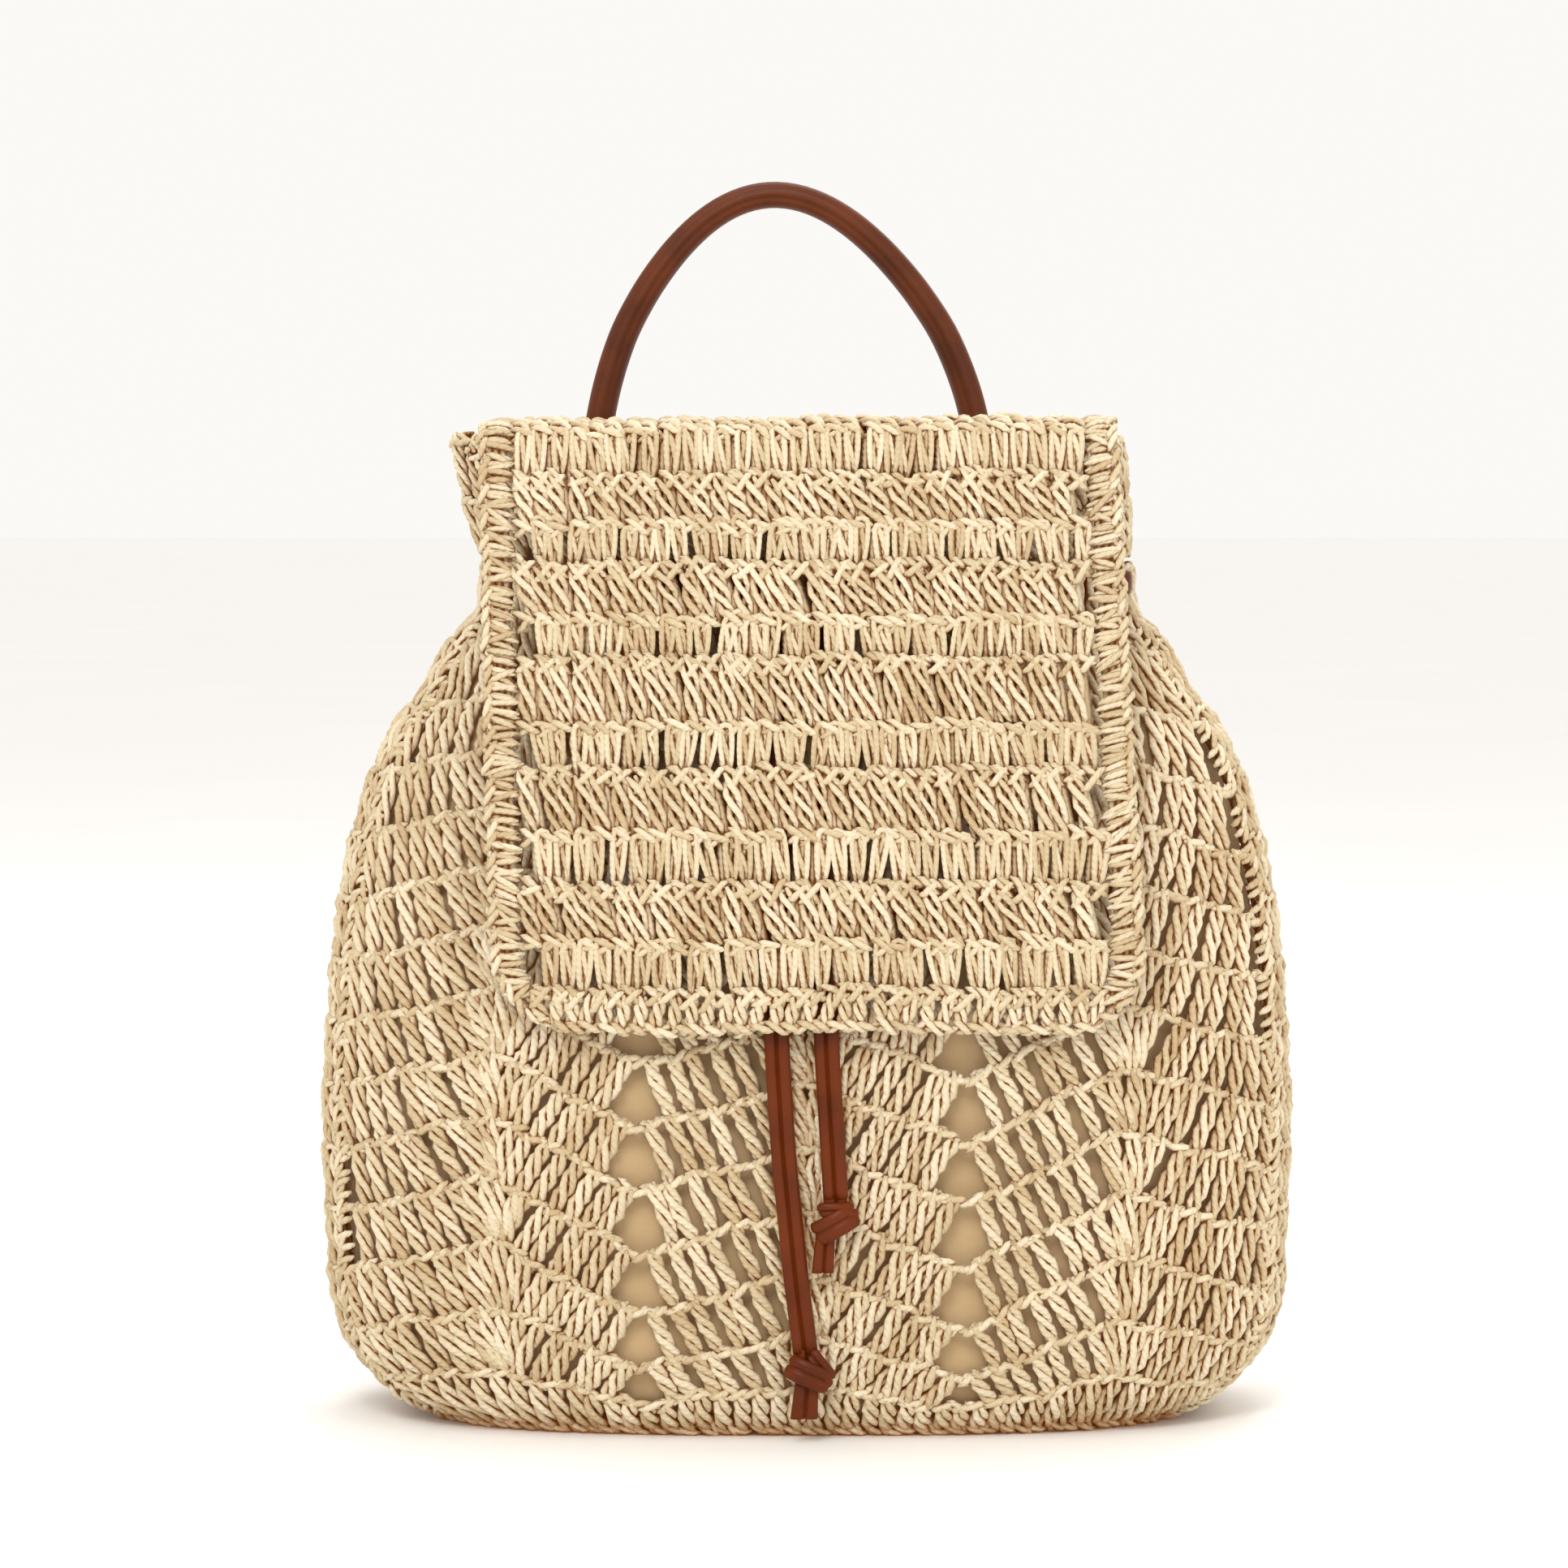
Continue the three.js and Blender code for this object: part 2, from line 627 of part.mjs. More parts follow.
function strapCurves(sign) {
  const points = strapRoute.map(({ across, behind, height }) => {
    const z = height * neckHeight;
    return new THREE.Vector3(sign * across * halfWidth, bodyBack(z) + behind, z);
  });
  const facing = strapRoute.map(({ turn }) => {
    const angle = THREE.MathUtils.degToRad(turn);
    return new THREE.Vector3(sign * Math.sin(angle), Math.cos(angle), 0);
  });
  return {
    middle: new THREE.CatmullRomCurve3(points, false, 'centripetal'),
    facing: new THREE.CatmullRomCurve3(facing),
  };
}

// The strap's place, its width direction and its outward direction at a share of its route
function strapFrame({ middle, facing }, share) {
  const tangent = middle.getTangent(share);
  const side = facing.getPoint(share).cross(tangent).normalize();
  return { at: middle.getPoint(share), side, out: tangent.clone().cross(side).normalize(), tangent };
}

function strap(sign) {
  const curves = strapCurves(sign);
  const place = (u, share, inside) => {
    const { at, side, out } = strapFrame(curves, share);
    const off = (inside ? -0.5 : 0.5) * strapThick;
    return at.addScaledVector(side, (u * strapWidth) / 2).addScaledVector(out, off);
  };
  return sheet({ columns: [-1, 0, 1], rows: steps(24).toReversed(), place });
}

function sliderFrame(sign) {
  const { at, side, out, tangent } = strapFrame(strapCurves(sign), slider.share);
  const outer = new THREE.Shape();
  const [w, h] = [strapWidth / 2 + gap * 2, strapThick / 2 + gap * 2];
  const rail = slider.rail;
  outer.moveTo(-w - rail, -h - rail / 2).lineTo(w + rail, -h - rail / 2);
  outer.lineTo(w + rail, h + rail / 2).lineTo(-w - rail, h + rail / 2).closePath();
  const hole = new THREE.Path();
  hole.moveTo(-w, -h).lineTo(-w, h).lineTo(w, h).lineTo(w, -h).closePath();
  outer.holes.push(hole);
  const frame = new THREE.ExtrudeGeometry(outer, { depth: slider.depth, bevelEnabled: false });
  frame.translate(0, 0, -slider.depth / 2);
  const turned = new THREE.Matrix4().makeBasis(side, out, side.clone().cross(out));
  frame.applyMatrix4(turned.setPosition(at));
  return frame;
}

[['left', -1], ['right', 1]].forEach(([side, sign]) => {
  add(`strap_${side}`, strap(sign), darkLeather);
  add(`strap_slider_${side}`, sliderFrame(sign), nickel);
});

add('strap_patch', sewnPiece({
  ...topPatch,
  x: 0,
  z: topPatch.foot * neckHeight,
  lift: onBack + strapThick + gap * 6,
}), darkLeather);

// The bag is centred over its footprint, leaving the hanging tails and knots out
const solid = new THREE.Box3();
bag.children.filter((mesh) => !cordNames.includes(mesh.name)).forEach((mesh) => solid.expandByObject(mesh));
const centre = solid.getCenter(new THREE.Vector3());
bag.position.set(-centre.x, -centre.y, 0);

export default bag;
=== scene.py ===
"""Crocheted straw backpack: cord by cord crochet over a cloth lining, with leather trim.

Sizes are in millimetres in the bag's own frame: front towards -Y, standing on its flat bottom at Z = 0.
A piece's points turn to metres, and move with the centred frame, where its mesh is made.
"""

import math

import bmesh
import bpy
import numpy as np
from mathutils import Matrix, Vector


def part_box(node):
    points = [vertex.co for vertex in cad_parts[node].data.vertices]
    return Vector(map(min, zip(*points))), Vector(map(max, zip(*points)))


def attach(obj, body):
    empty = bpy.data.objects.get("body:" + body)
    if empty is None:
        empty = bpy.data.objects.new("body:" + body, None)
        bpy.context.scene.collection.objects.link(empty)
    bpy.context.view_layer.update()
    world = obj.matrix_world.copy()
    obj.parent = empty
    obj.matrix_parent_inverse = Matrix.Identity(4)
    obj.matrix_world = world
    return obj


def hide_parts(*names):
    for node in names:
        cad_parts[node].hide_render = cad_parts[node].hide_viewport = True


bl_info = {
    "name": "Crocheted straw backpack",
    "version": (1, 0, 0),
    "blender": (4, 5, 0),
    "location": "View3D > Sidebar > Straw Backpack",
    "description": "Builds a crocheted straw backpack with leather trim round its packed solids",
    "category": "Add Mesh",
}

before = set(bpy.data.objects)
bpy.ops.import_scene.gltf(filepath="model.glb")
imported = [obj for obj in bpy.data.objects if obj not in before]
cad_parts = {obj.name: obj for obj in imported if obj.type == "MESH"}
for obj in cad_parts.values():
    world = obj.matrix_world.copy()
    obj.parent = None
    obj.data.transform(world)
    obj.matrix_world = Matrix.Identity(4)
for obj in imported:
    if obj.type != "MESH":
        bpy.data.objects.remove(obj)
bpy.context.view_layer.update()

# Sizes of the body, as its solids have them
HALF_WIDTH = 150.0
FRONT_DEPTH = 64.0
BACK_DEPTH = 57.0
NECK = 264.0
SQUARENESS = 2.9
WIDE_CORNER = 44.0
DEEP_CORNER = 14.0
SEAM_SHARE = 0.955
BODY_SECTIONS = np.array([  # height, width, front and back depth as shares of the full sizes
    (0, 0.99, 0.92, 0.97),
    (0.16, 0.99, 0.975, 1),
    (0.37, 1, 1, 1),
    (0.466, 0.99, 0.995, 0.99),
    (0.576, 0.973, 0.965, 0.965),
    (0.655, 0.949, 0.92, 0.93),
    (0.716, 0.92, 0.87, 0.89),
    (0.765, 0.89, 0.815, 0.85),
    (0.81, 0.847, 0.755, 0.8),
    (0.845, 0.8, 0.7, 0.755),
    (0.88, 0.765, 0.64, 0.71),
    (0.912, 0.73, 0.57, 0.645),
    (0.94, 0.684, 0.51, 0.59),
    (0.966, 0.674, 0.488, 0.565),
    (1, 0.672, 0.485, 0.56),
])
WIDTH, FRONT, BACK = 1, 2, 3  # columns of BODY_SECTIONS
FRONT_SHORT = 0.37  # the front panel's foremost point lies this far inside FRONT_DEPTH
FRAME_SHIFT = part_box("front_panel")[0].y * 1000 + FRONT_DEPTH - FRONT_SHORT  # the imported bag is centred
CROCHET_DEPTH = -1.4  # the cords' middle lies this far in from the body's outside
BOTTOM_LEVEL = 2.3  # height of the middle of the bottom's cords
BOTTOM_HALF_WIDTH, BOTTOM_HALF_DEPTH = 104.0, 47.0
BOTTOM_ROWS = np.linspace(-41.0, 44.0, 6)  # row lines of the bottom, from the back to the front
LINING_DEPTH, LINING_TOP = 4.9, 286.0
TO_RADIUS, TO_FLAP_RADIUS = 500, 480  # cord radius in mm for a metre of thickness; the flap's is thinner

# Row lines of the ripple stitch: their height at the middle fan, and how far they follow the ripple
ROW_LEVELS = [16, 32, 50.5, 69.5, 88.5, 107.5, 126.5, 145.5, 164.5, 183.5, 202.5, 221.5, 240.5, 262]
ROW_RIPPLE = [0.4, 0.8, 1, 1, 1, 1, 1, 1, 1, 1, 1, 0.9, 0.5, 0]
SIDE_DROP = 4.0  # the rows cross the gusset this far below their levels
RIGHT_SEAM_GAPS, LEFT_SEAM_GAPS = (6, 7, 8, 9, 10), (2, 3)  # rows that leave gaps beside a seam
RIPPLE_SHARES = [-1, -0.64, -0.345, 0, 0.32, 0.64, 1]
RIPPLE_HEIGHTS = [-5.5, 9.5, -13, 0.5, -17.5, 4.7, -12]

# Flap
FLAP_TOP, FLAP_HEM, FLAP_BACK_HEM = 308.0, 126.0, 232.0
FLAP_TOP_WIDTH, FLAP_HEM_WIDTH = 192.0, 195.0
FLAP_WALL, RIDGE, GAP, STRING_THICK = 4.2, 0.9, 0.3, 4.0
FLAP_CORNER, FLAP_BORDER, FLAP_END_GAP = 24.0, 10.0, 4.6
FOLD_RADIUS, FLAP_TOP_SHIFT, FLAP_HEM_SHIFT, FLAP_CURL = 9.0, -3.0, 3.5, 5.0
FLAP_LINES = [136.9, 151.7, 167.3, 183.3, 200.8, 215.4, 234, 247, 262.2, 275.6, 289, 302]
FLAP_MIDDLE = 2.4  # from the flap's inside to the middle of its cords
FRONT_ROWS, OPEN_ROWS = 12, 10  # rows that hang in front, and rows with end gaps and slits
COLLAR_FLARE, COLLAR_WAVE, COLLAR_WAVES, COLLAR_WALL = 6.0, 2.6, 18, 3.0

# Hanging drawstring tails: middle lines, as the source has them
LEFT_TAIL = [
    (-5, -35.7, 252), (-5.3, -39.7, 242), (-6, -45.7, 230), (-6.8, -52, 214), (-7.6, -56.4, 200),
    (-8.4, -60.9, 182), (-8.9, -64.5, 160), (-9.2, -66.5, 140), (-9.2, -67.5, 122), (-8.2, -67.8, 104),
    (-7, -67.6, 86), (-5.2, -67.2, 68), (-3.4, -66.6, 50), (-1.9, -66.3, 38), (-0.6, -66.4, 27.9),
]
RIGHT_TAIL = [
    (5, -35.7, 252), (5.2, -39.7, 242), (5.3, -45.7, 230), (5.3, -52, 214), (5.2, -56.4, 200),
    (5.2, -60.9, 182), (5.2, -64.5, 160), (5.4, -66.5, 140), (5.6, -67.5, 122), (6.6, -67.8, 104),
    (7.6, -67.8, 88), (8.4, -68, 74.6),
]
STRING_LEVEL = NECK - 6.4  # the drawstring's height round the neck
KNOTS = {  # middle, tilt in degrees, middle of the cut end, its width and drop, where the tail comes in
    "left": ((0.4, -66.9, 21.8), -24, (-0.8, -66.4, 9.6), 8.2, 7, (-0.6, -66.2, 29)),
    "right": ((8.2, -68.2, 67.0), 30, (4.8, -68.2, 55.4), 6.6, 10, (8.3, -67.6, 75)),
}

# Leather of the handle and the straps
TAB_WIDTH, TAB_HEIGHT, TAB_THICK = 17, 34, 2.2
PATCH_WIDTH, PATCH_HEIGHT, PATCH_THICK, PATCH_BOTTOM = 66, 28, 2.4, 0.755 * NECK
STRAP_THICK = 2.6
STRAP_ROUTE = [  # share of the half width, distance behind the back, share of NECK, turn outwards
    (0.12, 3.1, 0.86, 0), (0.15, 3.2, 0.735, 0), (0.24, 7, 0.69, 2), (0.41, 12, 0.57, 5),
    (0.61, 13, 0.45, 10), (0.79, 10.5, 0.345, 18), (0.92, 5, 0.255, 30), (0.985, -4, 0.185, 60),
    (0.985, -14.5, 0.147, 100), (0.936, -24.8, 0.142, 128),
]

# Studio: name, place, what it looks at, size in metres and power in watts of each light
CAMERA_PLACE, CAMERA_PITCH, CAMERA_LENS = (-0.00705, -1.5, 0.281), 3.3, 111.0
FLOOR_REACH = 40000.0
LIGHTS = (
    ("key_light", (-0.4, -1.85, 1.75), (0, 0, 0.17), 0.8, 23.5),
    ("fill_light", (1.5, -1.5, 0.8), (0, 0, 0.17), 1.4, 4),
    ("top_light", (0.1, 0.5, 1.9), (0, 0.1, 0.1), 1.2, 11),
    ("back_light", (0.6, 1.2, 1.1), (0, 0, 0.2), 1.0, 6),
)


# Settings that a user would change


class StrawBagSizes(bpy.types.PropertyGroup):
    """Sizes of the straw cord, its stitches and the leather"""
    cord: bpy.props.FloatProperty(
        name="Cord", description="Thickness of the straw cord", default=0.00215, unit="LENGTH")
    post_pitch: bpy.props.FloatProperty(
        name="Stitch width", description="Width of one stitch of the body", default=0.0056, unit="LENGTH")
    open_pitch: bpy.props.FloatProperty(
        name="Open stitch width", description="Width of a stitch in the loose part of a ripple",
        default=0.0064, unit="LENGTH")
    flap_stitches: bpy.props.IntProperty(
        name="Flap stitches", description="Stitches across the flap between its borders", default=31)
    string_width: bpy.props.FloatProperty(
        name="Drawstring width", description="Width of the leather drawstring", default=0.0075,
        unit="LENGTH")
    strap_width: bpy.props.FloatProperty(
        name="Strap width", description="Width of a shoulder strap", default=0.016, unit="LENGTH")
    handle_thickness: bpy.props.FloatProperty(
        name="Handle thickness", description="Thickness of the rolled handle", default=0.0091,
        unit="LENGTH")


class StrawBagColours(bpy.types.PropertyGroup):
    """Colours of the straw, the lining and the leather"""
    straw: bpy.props.StringProperty(
        name="Straw", description="sRGB hex of the straw cord", default="#d1bf9c")
    straw_pale: bpy.props.StringProperty(
        name="Pale straw", description="sRGB hex of the palest cords", default="#ebdec3")
    straw_deep: bpy.props.StringProperty(
        name="Deep straw", description="sRGB hex of the darkest cords", default="#b6986d")
    lining: bpy.props.StringProperty(
        name="Lining", description="sRGB hex of the lining", default="#c8ab80")
    string: bpy.props.StringProperty(
        name="Drawstring", description="sRGB hex of the drawstring leather", default="#612500")
    handle: bpy.props.StringProperty(
        name="Handle", description="sRGB hex of the handle leather", default="#5c2b12")
    strap: bpy.props.StringProperty(
        name="Straps", description="sRGB hex of the strap leather", default="#52240d")


# Places along a line


def run_along(line):
    """Millimetres from the start of a line to each of its points."""
    return np.concatenate([[0], np.cumsum(np.linalg.norm(np.diff(line, axis=0), axis=1))])


def taken_at(at, run, line):
    """Points of a line at given distances from its start."""
    return np.stack([np.interp(at, run, line[:, k]) for k in range(line.shape[1])], -1)


def middles(count):
    """The middles of so many equal parts of the span from -1 to 1."""
    return (np.arange(count) + 0.5) / count * 2 - 1


# Shapes of the body


def along(column, height):
    """A smooth value from a column of BODY_SECTIONS, at heights that are shares of NECK."""
    at, value = BODY_SECTIONS[:, 0], BODY_SECTIONS[:, column]
    slope = np.diff(value) / np.diff(at)
    middle = (slope[:-1] + slope[1:]) / 2
    i = np.clip(np.searchsorted(at, height, side="right") - 1, 0, len(at) - 2)
    before = np.concatenate([slope[:1], middle])[i]
    after = np.concatenate([middle, slope[-1:]])[i]
    span = at[i + 1] - at[i]
    t = np.clip((height - at[i]) / span, 0, 1)
    rise = value[i] + (value[i + 1] - value[i]) * t * t * (3 - 2 * t)
    return rise + span * t * (1 - t) * (before * (1 - t) - after * t)


def drawn_in(z, radius, lift):
    """How far the rounded bottom edge draws the body in at height z."""
    r = radius + lift
    return np.where(z < radius, r - np.sqrt(np.maximum(r * r - (radius - z) ** 2, 0)), 0)


def body_wide(z, lift=0.0):
    """Half the body's width at height z."""
    return HALF_WIDTH * along(WIDTH, z / NECK) + lift - drawn_in(z, WIDE_CORNER, lift)


def body_deep(z, back, lift=0.0):
    """How far the body reaches back or forward at height z."""
    full = BACK_DEPTH * along(BACK, z / NECK) if back else FRONT_DEPTH * along(FRONT, z / NECK)
    return full + lift - drawn_in(z, DEEP_CORNER, lift)


def body_point(angle, z, lift=0.0):
    """A point round the body: angle 0 is +X and negative angles are the front."""
    angle, z = np.broadcast_arrays(np.asarray(angle, float), np.asarray(z, float))
    c, s = np.cos(angle), np.sin(angle)
    deep = np.where(s < 0, body_deep(z, False, lift), body_deep(z, True, lift))
    power = 2 / SQUARENESS
    x = body_wide(z, lift) * np.sign(c) * np.abs(c) ** power
    y = deep * np.sign(s) * np.abs(s) ** power
    return np.stack([x, y, z], -1)


SEAM_ANGLE = math.acos(SEAM_SHARE ** (SQUARENESS / 2))


def panel_surface(back):
    """The front or back panel: u is a share of the half width, v a height in millimetres."""
    sign = 1 if back else -1

    def point(u, v):
        v = np.asarray(v, float)
        wide = body_wide(v, CROCHET_DEPTH)
        full = HALF_WIDTH * along(WIDTH, v / NECK) + CROCHET_DEPTH
        x = full * u * (1 - (1 - wide / full) * u * u)
        share = np.clip(np.abs(x) / wide, 0, 0.9995)
        deep = body_deep(v, back, CROCHET_DEPTH)
        y = sign * deep * (1 - share ** SQUARENESS) ** (1 / SQUARENESS)
        return np.stack(np.broadcast_arrays(-sign * x, y, v), -1)

    return point


def seam_share(v):
    """The u at which a panel meets the gusset at height v."""
    wide = body_wide(v, CROCHET_DEPTH)
    full = HALF_WIDTH * along(WIDTH, v / NECK) + CROCHET_DEPTH
    k = 1 - wide / full
    u = np.full_like(wide, 0.95)
    for _ in range(8):  # Newton's steps
        u = u - (u - k * u ** 3 - SEAM_SHARE * (1 - k)) / (1 - 3 * k * u * u)
    return u


def side_surface(sign):
    """The gusset's upright part on one side: u runs from -1 in front to 1 behind, v is a height."""
    fine = np.linspace(-SEAM_ANGLE, SEAM_ANGLE, 400)
    run = run_along(body_point(fine, np.full(400, 100.0)))
    share = 2 * run / run[-1] - 1

    def point(u, v):
        angle = np.interp(u, share, fine)
        return body_point(angle, v, CROCHET_DEPTH) * np.array([sign, 1, 1])

    return point


def bottom_half(share):
    """Half the length of a row of the bottom, at a share of the half depth from the middle."""
    return BOTTOM_HALF_WIDTH * (1 - share ** SQUARENESS) ** (1 / SQUARENESS)


def bottom_surface(x, v):
    """The flat bottom: x is a place from side to side, v millimetres to the front."""
    return np.stack(np.broadcast_arrays(x, -v, BOTTOM_LEVEL), -1)


def with_normals(surface, u, v, du=0.01, dv=0.6, flip=1):
    """Points of a surface and its outward normals, from small steps du and dv along it."""
    p = surface(u, v)
    a = surface(u + du, v) - surface(u - du, v)
    b = surface(u, v + dv) - surface(u, np.maximum(v - dv, 0.01))
    n = np.cross(a, b) * flip
    return p, n / np.maximum(np.linalg.norm(n, axis=-1, keepdims=True), 1e-9)


# Cords: every strand is a closed tube swept along its own line


def unit(v):
    """Vectors of length 1."""
    return v / np.maximum(np.linalg.norm(v, axis=-1, keepdims=True), 1e-9)


def bump(t):
    """Thickness along a strand: full in the middle and drawn in at its two ends."""
    return 0.5 + 0.5 * np.clip(np.minimum(t, 1 - t) * 9, 0, 1) ** 0.5


class Crochet:
    """Collects strands, then joins them into one mesh."""

    def __init__(self, seed):
        self.random = np.random.default_rng(seed)
        self.points, self.loops, self.sizes, self.uvs = [], [], [], []
        self.shades, self.inner = [], []
        self.count = 0

    def tubes(self, line, normal, radius, sides=5, shade=None):
        """line and normal: (strands, steps, 3); radius: millimetres, a number or (strands, steps)."""
        strands, steps = line.shape[:2]
        tangent = unit(np.gradient(line, axis=1))
        across = unit(np.cross(tangent, normal))
        out = np.cross(across, tangent)
        turn = np.arange(sides) * (2 * np.pi / sides)
        radius = np.broadcast_to(radius, (strands, steps))[..., None, None]
        ring = (line[:, :, None] + radius * (np.cos(turn)[:, None] * across[:, :, None]
                + np.sin(turn)[:, None] * out[:, :, None]))
        base = self.count + np.arange(strands)[:, None, None] * steps * sides
        k = np.arange(steps - 1)[None, :, None] * sides
        j = np.arange(sides)[None, None, :]
        nxt = (j + 1) % sides
        quads = np.stack(np.broadcast_arrays(
            base + k + j, base + k + sides + j, base + k + sides + nxt, base + k + nxt), -1)
        caps = np.stack([
            (base + j)[:, 0], (base + (steps - 1) * sides + (sides - 1 - j))[:, 0]], 1)
        run = np.concatenate([
            np.zeros((strands, 1)),
            np.cumsum(np.linalg.norm(np.diff(line, axis=1), axis=2), axis=1)], 1) / 10
        low, high = run[:, :-1, None], run[:, 1:, None]
        left, right = j / sides, (j + 1) / sides
        uv = np.stack([
            np.stack(np.broadcast_arrays(left, low), -1), np.stack(np.broadcast_arrays(left, high), -1),
            np.stack(np.broadcast_arrays(right, high), -1), np.stack(np.broadcast_arrays(right, low), -1),
        ], -2)
        self.loops += [quads.reshape(-1), caps.reshape(-1)]
        self.sizes += [np.full(quads.size // 4, 4), np.full(caps.size // sides, sides)]
        self.uvs += [uv.reshape(-1, 2), np.zeros((caps.size, 2))]
        self.points.append(ring.reshape(-1, 3))
        if shade is None:
            shade = self.random.random((strands, 1, 1))
        self.shades.append(np.broadcast_to(shade, (strands, steps, sides)).reshape(-1))
        # painted shade: how much each ring point faces into the surface, which the straw material reads to
        # brown the cords' inward sides
        depth = np.sum(out * unit(normal), axis=-1)[..., None] * -np.sin(turn)
        self.inner.append(np.broadcast_to(depth, (strands, steps, sides)).reshape(-1))
        self.count += strands * steps * sides

    def posts(self, p, n, radius, spread, turns, phase=0.0, strands=2, wobble=0.25, sides=5):
        """Upright stitches: strands twisting round each other along lines p, (posts, steps, 3)."""
        posts, steps = p.shape[:2]
        t = np.linspace(0, 1, steps)[None, :]
        tangent = unit(np.gradient(p, axis=1))
        across = unit(np.cross(tangent, n))
        shift = self.random.normal(0, wobble, (posts, 1))
        begin = phase + self.random.normal(0, 0.55, (posts, 1))
        turns = turns + self.random.normal(0, 0.12, (posts, 1))
        tone = self.random.random((posts, 1, 1))
        for strand in range(strands):
            angle = begin + 2 * np.pi * (turns * t + strand / strands)
            side = spread * np.cos(angle) * (0.72 + 0.28 * np.sin(np.pi * t)) + shift * np.sin(np.pi * t)
            out = spread * 0.7 * np.sin(angle) + 1.1 * (t - 0.5)
            line = p + across * side[..., None] + n * out[..., None]
            thick = radius * bump(t) * (1 + self.random.normal(0, 0.07, (posts, 1)))
            self.tubes(line, n, thick, sides, np.clip(tone + 0.3 * (strand - 1), 0, 1))

    def arches(self, p, n, radius, half, wobble=0.2, sides=5):
        """Stitches seen as a loop: up one leg, over the rounded head and down the other leg."""
        stitches, steps = p.shape[:2]
        w = np.linspace(0, 1, 13)
        up = np.where(w < 0.5, w * 2, 2 - w * 2)
        up = np.sin(up * np.pi / 2) ** 0.9
        side = half * np.where(w < 0.5, -1, 1) * (0.45 + 0.55 * np.sin(up * np.pi * 0.62))
        side = side * np.clip(np.abs(w - 0.5) * 9, 0, 1)
        i = np.clip(up * (steps - 1), 0, steps - 1.001)
        k = i.astype(int)
        f = (i - k)[None, :, None]
        q = p[:, k] * (1 - f) + p[:, k + 1] * f
        nn = unit(n[:, k] * (1 - f) + n[:, k + 1] * f)
        axis = unit(p[:, -1] - p[:, 0])[:, None]
        across = unit(np.cross(np.broadcast_to(axis, nn.shape), nn))
        lean = self.random.normal(0, wobble, (stitches, 1)) * np.sin(np.pi * w)[None]
        lift = 0.55 * np.cos((w - 0.5) * np.pi * 2) + self.random.normal(0, 0.25, (stitches, 1)) * (w - 0.5)
        line = q + across * (side[None] + lean)[..., None] + nn * lift[..., None]
        thick = radius * bump(w[None]) * (1 + self.random.normal(0, 0.06, (stitches, 1)))
        self.tubes(line, nn, thick, sides)

    def strokes(self, line, n, pitch, length, rise, lift, radius, bulge=1.1, slant=1.0, sides=5):
        """A line of short slanting loops, such as a row's chain or a braided edge."""
        stations = spaced(line, n, pitch)
        count = len(stations[0])
        w = np.linspace(0, 1, 5)[None, :]
        jitter = self.random.normal(0, 0.3, (count, 1))
        a = (w - 0.5) * length * (1 + self.random.normal(0, 0.09, (count, 1)))
        rise = rise * (1 + self.random.normal(0, 0.3, (count, 1)))
        b = slant * rise * np.sin((w - 0.5) * np.pi) + jitter
        c = lift + bulge * (np.sin(np.pi * w) - 0.6) + self.random.normal(0, 0.2, (count, 1))
        self.laid(stations, a, b, c, radius * bump(w), sides)

    def laid(self, stations, forward, sideways, outward, radius, sides=5):
        """Strands at stations of a line, from offsets (strands, steps) in each one's own directions."""
        at, t, s, out = stations
        line = (at[:, None] + t[:, None] * forward[..., None] + s[:, None] * sideways[..., None]
                + out[:, None] * outward[..., None])
        self.tubes(line, np.broadcast_to(out[:, None], line.shape), radius, sides)

    def mesh(self, name):
        """All strands as one mesh, with nothing below the floor."""
        points = np.concatenate(self.points)
        points[:, 2] = np.maximum(points[:, 2], 0.1)
        return build_mesh(name, points, np.concatenate(self.loops), np.concatenate(self.sizes),
                          np.concatenate(self.uvs), tone=np.concatenate(self.shades),
                          inner=np.concatenate(self.inner))


def spaced(line, n, pitch):
    """Nearly even stations along a line, with their frames: place, forward, sideways and outward."""
    run = run_along(line)
    count = max(int(round(run[-1] / pitch)), 1)
    at = (np.arange(count) + 0.5 + 0.16 * np.sin(np.arange(count) * 2.4)) * run[-1] / count
    t = unit(taken_at(at + 0.5, run, line) - taken_at(at - 0.5, run, line))
    s = unit(np.cross(t, unit(taken_at(at, run, n))))
    return taken_at(at, run, line), t, s, np.cross(s, t)


def build_mesh(name, points, loops, sizes, uvs=None, **attributes):
    """A mesh in metres from points in millimetres of the bag's own frame."""
    mesh = bpy.data.meshes.new(name)
    placed = (points + np.array([0, FRAME_SHIFT, 0])) / 1000
    mesh.vertices.add(len(placed))
    mesh.vertices.foreach_set("co", placed.astype(np.float32).ravel())
    mesh.loops.add(len(loops))
    mesh.loops.foreach_set("vertex_index", loops.astype(np.int32))
    mesh.polygons.add(len(sizes))
    starts = np.concatenate([[0], np.cumsum(sizes)[:-1]])
    mesh.polygons.foreach_set("loop_start", starts.astype(np.int32))
    mesh.update(calc_edges=True)
    mesh.polygons.foreach_set("use_smooth", np.ones(len(sizes), bool))
    if uvs is not None:
        layer = mesh.uv_layers.new(name="Cord")
        layer.data.foreach_set("uv", uvs.astype(np.float32).ravel())
    for key, values in attributes.items():
        mesh.attributes.new(key, "FLOAT", "POINT").data.foreach_set("value", values.astype(np.float32))
    mesh.validate()
    return mesh


def place(name, mesh, finish, slot, *nodes):
    """Adds a piece that rides on the bag, with the given finish, and stands for CAD nodes. Its slot is not
    used.
    """
    piece = bpy.data.objects.new(name, mesh)
    bpy.context.scene.collection.objects.link(piece)
    mesh.materials.append(finish)
    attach(piece, "root")
    if nodes:
        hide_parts(*nodes)
    return piece


